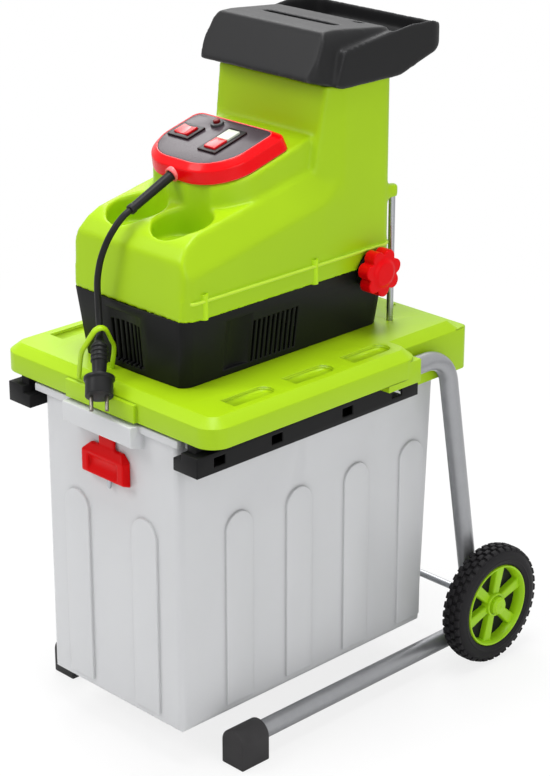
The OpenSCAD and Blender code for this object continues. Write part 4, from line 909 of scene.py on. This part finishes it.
def makeSeam(s, screws):
    bead = beadRepeat(s)
    corner = s["corner"]
    arc = math.acos(1 - (s["front"] - s["nose"]) / corner)      # from the nose to where the flange starts
    rear = [quarterTurn * (1 - k / s["steps"]) for k in range(s["steps"] + 1)]
    front = [(quarterTurn - arc) * k / s["steps"] for k in range(s["steps"] + 1)]
    for way, side in bothSides:
        bends = [(a, s["rear"] - corner * (1 - math.sin(a))) for a in rear]
        bends += [(a, s["nose"] + corner * (1 - math.sin(a))) for a in front]
        line = [(way * (s["half"] - corner * (1 - math.cos(a))), y, s["z"]) for a, y in bends]
        x, y, z = line[-1]
        line.append((x - way * s["tuck"][0], y - s["tuck"][1], z))     # into the wall
        path = meshOfPoints("seamPath", line, [(k, k + 1) for k in range(len(line) - 1)])
        strip = bead.make(path, "highlightLime", Radius=s["bead"])
        settle("seamBead." + side, smooth(strip, angle=50), "highlightLime", "chassis")
    places = meshOfPoints("lugPlaces", [(x, y, (s["lugLow"] + s["lugTop"]) / 2) for x, y, _ in screws])
    lugs = lugRepeat(s).make(places, "lime", Radius=s["lug"], Height=s["lugTop"] - s["lugLow"],
        Bore=s["bore"], Depth=s["boreDepth"], Stretch=s["stretch"])
    settle("seamLugs", smooth(lugs, angle=35), "lime", "chassis")


makeSeam(seamSettings, screwSettings["places"])
print("stage: seam")


# cable hook: one bent strap on the tray

hookSettings = {
    "at": (-0.0344, -0.2750, 0.500), "turn": 69, "lean": 20, "thick": 0.0027, "deep": 0.0046,
    "steps": 6, "sides": 28,
    "half": [(-21.5, -6), (-21.6, 8), (-21.8, 24), (-20.6, 36), (-16.4, 45), (-11.4, 56), (-6.6, 64.6)],
    "top": (0, 67.6),     # across and up, mm
}


def makeHook(s):
    stand = (Matrix.Translation(s["at"]) @ Matrix.Rotation(math.radians(s["turn"]), 4, "Z")
        @ Matrix.Rotation(math.radians(s["lean"]), 4, "X"))
    deep = stand.to_3x3() @ Vector((0, 1, 0))
    arch = s["half"] + [s["top"]] + [(-u, v) for u, v in reversed(s["half"])]
    line = throughPoints([stand @ (Vector((u, 0, v)) * mm) for u, v in arch], s["steps"])
    rings = [ring(p, ahead.cross(deep).normalized() * s["thick"], deep * s["deep"], s["sides"])
        for p, ahead in zip(line, directions(line))]
    settle("cableHook", smooth(skinned(rings), angle=50), "tray", "chassis", "cable_hook")


makeHook(hookSettings)
print("stage: hook")


# soft mouldings: the hood with its tower, the control bezel, the latch, the knob and the hopper

hoodGroove = ([(x, y, z) for x, y in ((106, -10), (105, 24), (97, 24), (97, -10)) for z in (612, 690)]
    + [(98, 0, 716), (103.5, 20, 716), (96, 20, 716), (96, 0, 716)])        # where hood and tower meet, mm
ledge = {   # mm
    "z": 882, "y": 16, "slope": 0.129, "across": (97, 110.5), "along": (20, 108), "down": (-5, -0.3),
}
cheekLedge = [(x, y, ledge["z"] + (y - ledge["y"]) * ledge["slope"] + z)
    for x in ledge["across"] for y in ledge["along"] for z in ledge["down"]]
meltSettings = {
    "upper_housing": {"finish": "lime", "voxel": 0.0019, "passes": 4, "above": 0.618, "more": 18,
        "share": 0.3, "rim": 0.590, "fills": [hoodGroove]},
    "control_bezel": {"finish": "bezelRed", "voxel": 0.0009, "passes": 9, "share": 0.4},
    "box_latch": {"finish": "latchRed", "voxel": 0.0008, "passes": 11, "share": 0.5},
    "adjuster_knob": {"finish": "red", "voxel": 0.0007, "passes": 9, "share": 0.5},
    "feed_hopper": {"finish": "hopper", "voxel": 0.0019, "passes": 20, "share": 0.6, "fills": [cheekLedge]},
}
for node, s in meltSettings.items():
    melted(node, **s)
print("stage: soft mouldings")


# rounded mouldings

edgeSettings = {  # node: edge radius, finish
    "lower_housing": (0.0009, "black"), "control_plate": (0.0006, "plate"),
    "guide_rail_right": (0.0012, "black"), "guide_rail_left": (0.0012, "black"),
    "foot_right": (0.002, "foot"), "foot_left": (0.002, "foot"),
    "rocker_frame": (0.0006, "frame"), "button_frame": (0.0006, "frame"),
    "direction_rocker": (0.0007, "glossRed"), "start_button": (0.0008, "paleGreen"),
    "stop_button": (0.0008, "glossRed"), "adjuster_boss": (0.0008, "black"),
}
for node, (edge, finish) in edgeSettings.items():
    rounded(node, edge, finish)

traySettings = {
    "edges": {"edge": 0.0008, "finish": "tray", "angle": 28, "even": True,
        "cuts": ((0.2, 0.8), (0.308, 0.515, 0.745), ())},
    "panelIn": 0.038, "panelHalf": 0.0132, "panelStarts": (-0.234, -0.130, -0.026), "panelLength": 0.074,
    "panelFloor": (0.0008, 0.0022), "sink": 0.0024, "slack": 0.0002,
}


def makeTray(s):
    tray = rounded("platform", **s["edges"])
    _, high = (Vector(c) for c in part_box("platform"))
    shallow, deep = s["panelFloor"]
    for v in tray.data.vertices:        # the finger panels are a little deeper than their solid
        along = any(-s["slack"] < v.co.y - y < s["panelLength"] + s["slack"] for y in s["panelStarts"])
        across = abs(abs(v.co.x) - (high.x - s["panelIn"])) < s["panelHalf"]
        if along and across and high.z - deep < v.co.z < high.z - shallow:
            v.co.z -= s["sink"]


makeTray(traySettings)

boxSettings = {"edge": 0.0012, "finish": "box", "cuts": ((0.27, 0.73), (0.2, 0.5, 0.8), ())}
rounded("collection_box", **boxSettings)

collarSettings = {
    "start": (-0.005, -0.168, 0.738), "inner": 0.0066, "outer": 0.0098, "proud": 0.0030, "in": 0.005,
    "round": 0.0009, "roundShare": 0.3, "sides": 56,
}


def makeCollar(s):
    # low ring on the bezel where the cord's sleeve leaves it
    mouth, start = Vector(cordSettings["route"][0]) * mm, Vector(s["start"])
    out = (mouth - start).normalized()
    bezel = cad["control_bezel"].data
    wall = BVHTree.FromPolygons([v.co for v in bezel.vertices], [p.vertices for p in bezel.polygons])
    side = out.cross(Vector((0, 0, 1))).normalized() * s["outer"]
    hits = [wall.ray_cast(mouth + side * way, -out)[0] for way, _ in bothSides]
    reach = sum((mouth - hit).dot(out) for hit in hits) / 2
    inner, outer, top, r = s["inner"], s["outer"], s["proud"], s["round"]
    cut = r * s["roundShare"]
    collar = lathe([(inner, -s["in"]), (outer, -s["in"]), (outer, top - r), (outer - cut, top - cut),
        (outer - r, top), (inner + r, top), (inner, top - r)], (0, 0, 0), 1, s["sides"])
    turn = out.to_track_quat("X", "Z").to_matrix().to_4x4()
    collar.transform(Matrix.Translation(mouth - out * reach) @ turn)
    settle("sleeveCollar", smooth(collar, angle=50), "bezelRed", "chassis")


makeCollar(collarSettings)

pinSettings = {
    "radius": 0.0031, "x": 0.0045, "behind": 0.008, "reach": 0.0105, "in": 0.004, "sides": 24,
    "shape": [(0, 1), (0.6, 1), (0.82, 0.86), (0.95, 0.55), (1, 0.12)],     # share of length, share of radius
}


def makeLatchPin(s):
    # steel end of the latch's spring pin, under the slide
    low, _ = (Vector(c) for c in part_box("box_latch"))
    top = low.z + s["in"]
    rings = []
    for t, k in s["shape"]:
        centre = Vector((s["x"], low.y + s["behind"], top - (s["in"] + s["reach"]) * t))
        radius = s["radius"] * k
        rings.append(ring(centre, Vector((radius, 0, 0)), Vector((0, radius, 0)), s["sides"]))
    settle("latchPin", smooth(skinned(rings), angle=40), "zinc", bodyOf["box_latch"])


makeLatchPin(pinSettings)
print("stage: rounded mouldings")


# the rest of the solids

paint("hubLime", "axle_caps")
paint("zinc", "axle", "tie_rods", "motor_case", "motor_rotor", "adjuster_screw", "bearing_front",
    "bearing_rear")
paint("black", "interlock_switch", "cooling_fan")
paint("hopper", "feed_chute", "reset_collar")
paint("darkRed", "reset_button")
paint("copper", "motor_stator")
paint("alloy", "gearbox", "cutting_frame")
paint("cast", "middle_gear", "roller_gear", "cutting_roller", "counter_plate")
print("stage: solids painted")


# studio

studioSettings = {
    "lamps": {  # place, aim, size, watts
        "key": ((-1.3, -2.2, 2.6), (0, 0, 0.5), 1.4, 34.0),
        "top": ((0.1, -0.2, 3.2), (0, 0, 0.5), 1.6, 60.0),
        "fill": ((2.6, -0.6, 1.2), (0, 0, 0.45), 2.0, 19.0),
        "back": ((-1.9, 1.5, 2.9), (0, 0, 0.6), 2.2, 42.0),
    },
    "sky": 0.42, "floor": 0.9, "floorRadius": 9, "floorSides": 96, "floorDrop": 0.0005,
    "glow": (0.8, 1.0), "glowFrom": (0.6, 1.8),     # near and far, so that the shadow shows near the machine
}
white = (1, 1, 1, 1)


def makeLamps(rows):
    for name, (place, aim, size, watts) in rows.items():
        data = bpy.data.lights.new(name, "AREA")
        data.shape, data.size, data.energy = "DISK", size, watts
        lamp = linked(name, data)
        lamp.location = place
        lamp.rotation_mode = "QUATERNION"
        lamp.rotation_quaternion = (Vector(aim) - Vector(place)).to_track_quat("-Z", "Y")


def makeSky(s):
    # white to the eye and in reflections, softer as a light
    scene.world = bpy.data.worlds.new("studio")
    scene.world.use_nodes = True
    g = Graph(scene.world.node_tree)
    seen = g.node("ShaderNodeLightPath", out="Is Camera Ray")
    for ray in ("Is Transmission Ray", "Is Glossy Ray"):
        seen = g.node("ShaderNodeMath", {"operation": "MAXIMUM"},
            {0: seen, 1: g.node("ShaderNodeLightPath", out=ray)})
    strength = g.node("ShaderNodeMapRange", None, {0: seen, 3: s["sky"], 4: 1.0})
    g.node("ShaderNodeOutputWorld", None, {0: g.node("ShaderNodeBackground", None, {0: white, 1: strength})})


def makeFloor(s):
    bm = bmesh.new()
    bmesh.ops.create_circle(bm, cap_ends=True, segments=s["floorSides"], radius=s["floorRadius"])
    mesh = meshOf(bm, "floor")
    floor = linked("floor", mesh)
    floor.location.z = -s["floorDrop"]
    f = Finish("studioFloor")
    ray = f.node("ShaderNodeLightPath", out="Is Camera Ray")
    glow = f.node("ShaderNodeEmission", None, {"Color": white, "Strength": 1.0})
    plain = f.node("ShaderNodeBsdfDiffuse", None, {"Color": (s["floor"],) * 3 + (1,)})
    away = f.node("ShaderNodeVectorMath", {"operation": "LENGTH"}, {0: f.place()}, "Value")
    near, far = s["glow"]
    share = ray * (away.span(*s["glowFrom"]) * (far - near) + near)
    both = f.node("ShaderNodeMixShader", None, {0: share, 1: plain, 2: glow})
    f.node("ShaderNodeOutputMaterial", None, {"Surface": both})
    mesh.materials.append(f.material)


makeLamps(studioSettings["lamps"])
makeSky(studioSettings)
makeFloor(studioSettings)
scene.view_settings.view_transform = "Standard"
print("stage: studio")

bpy.context.view_layer.update()
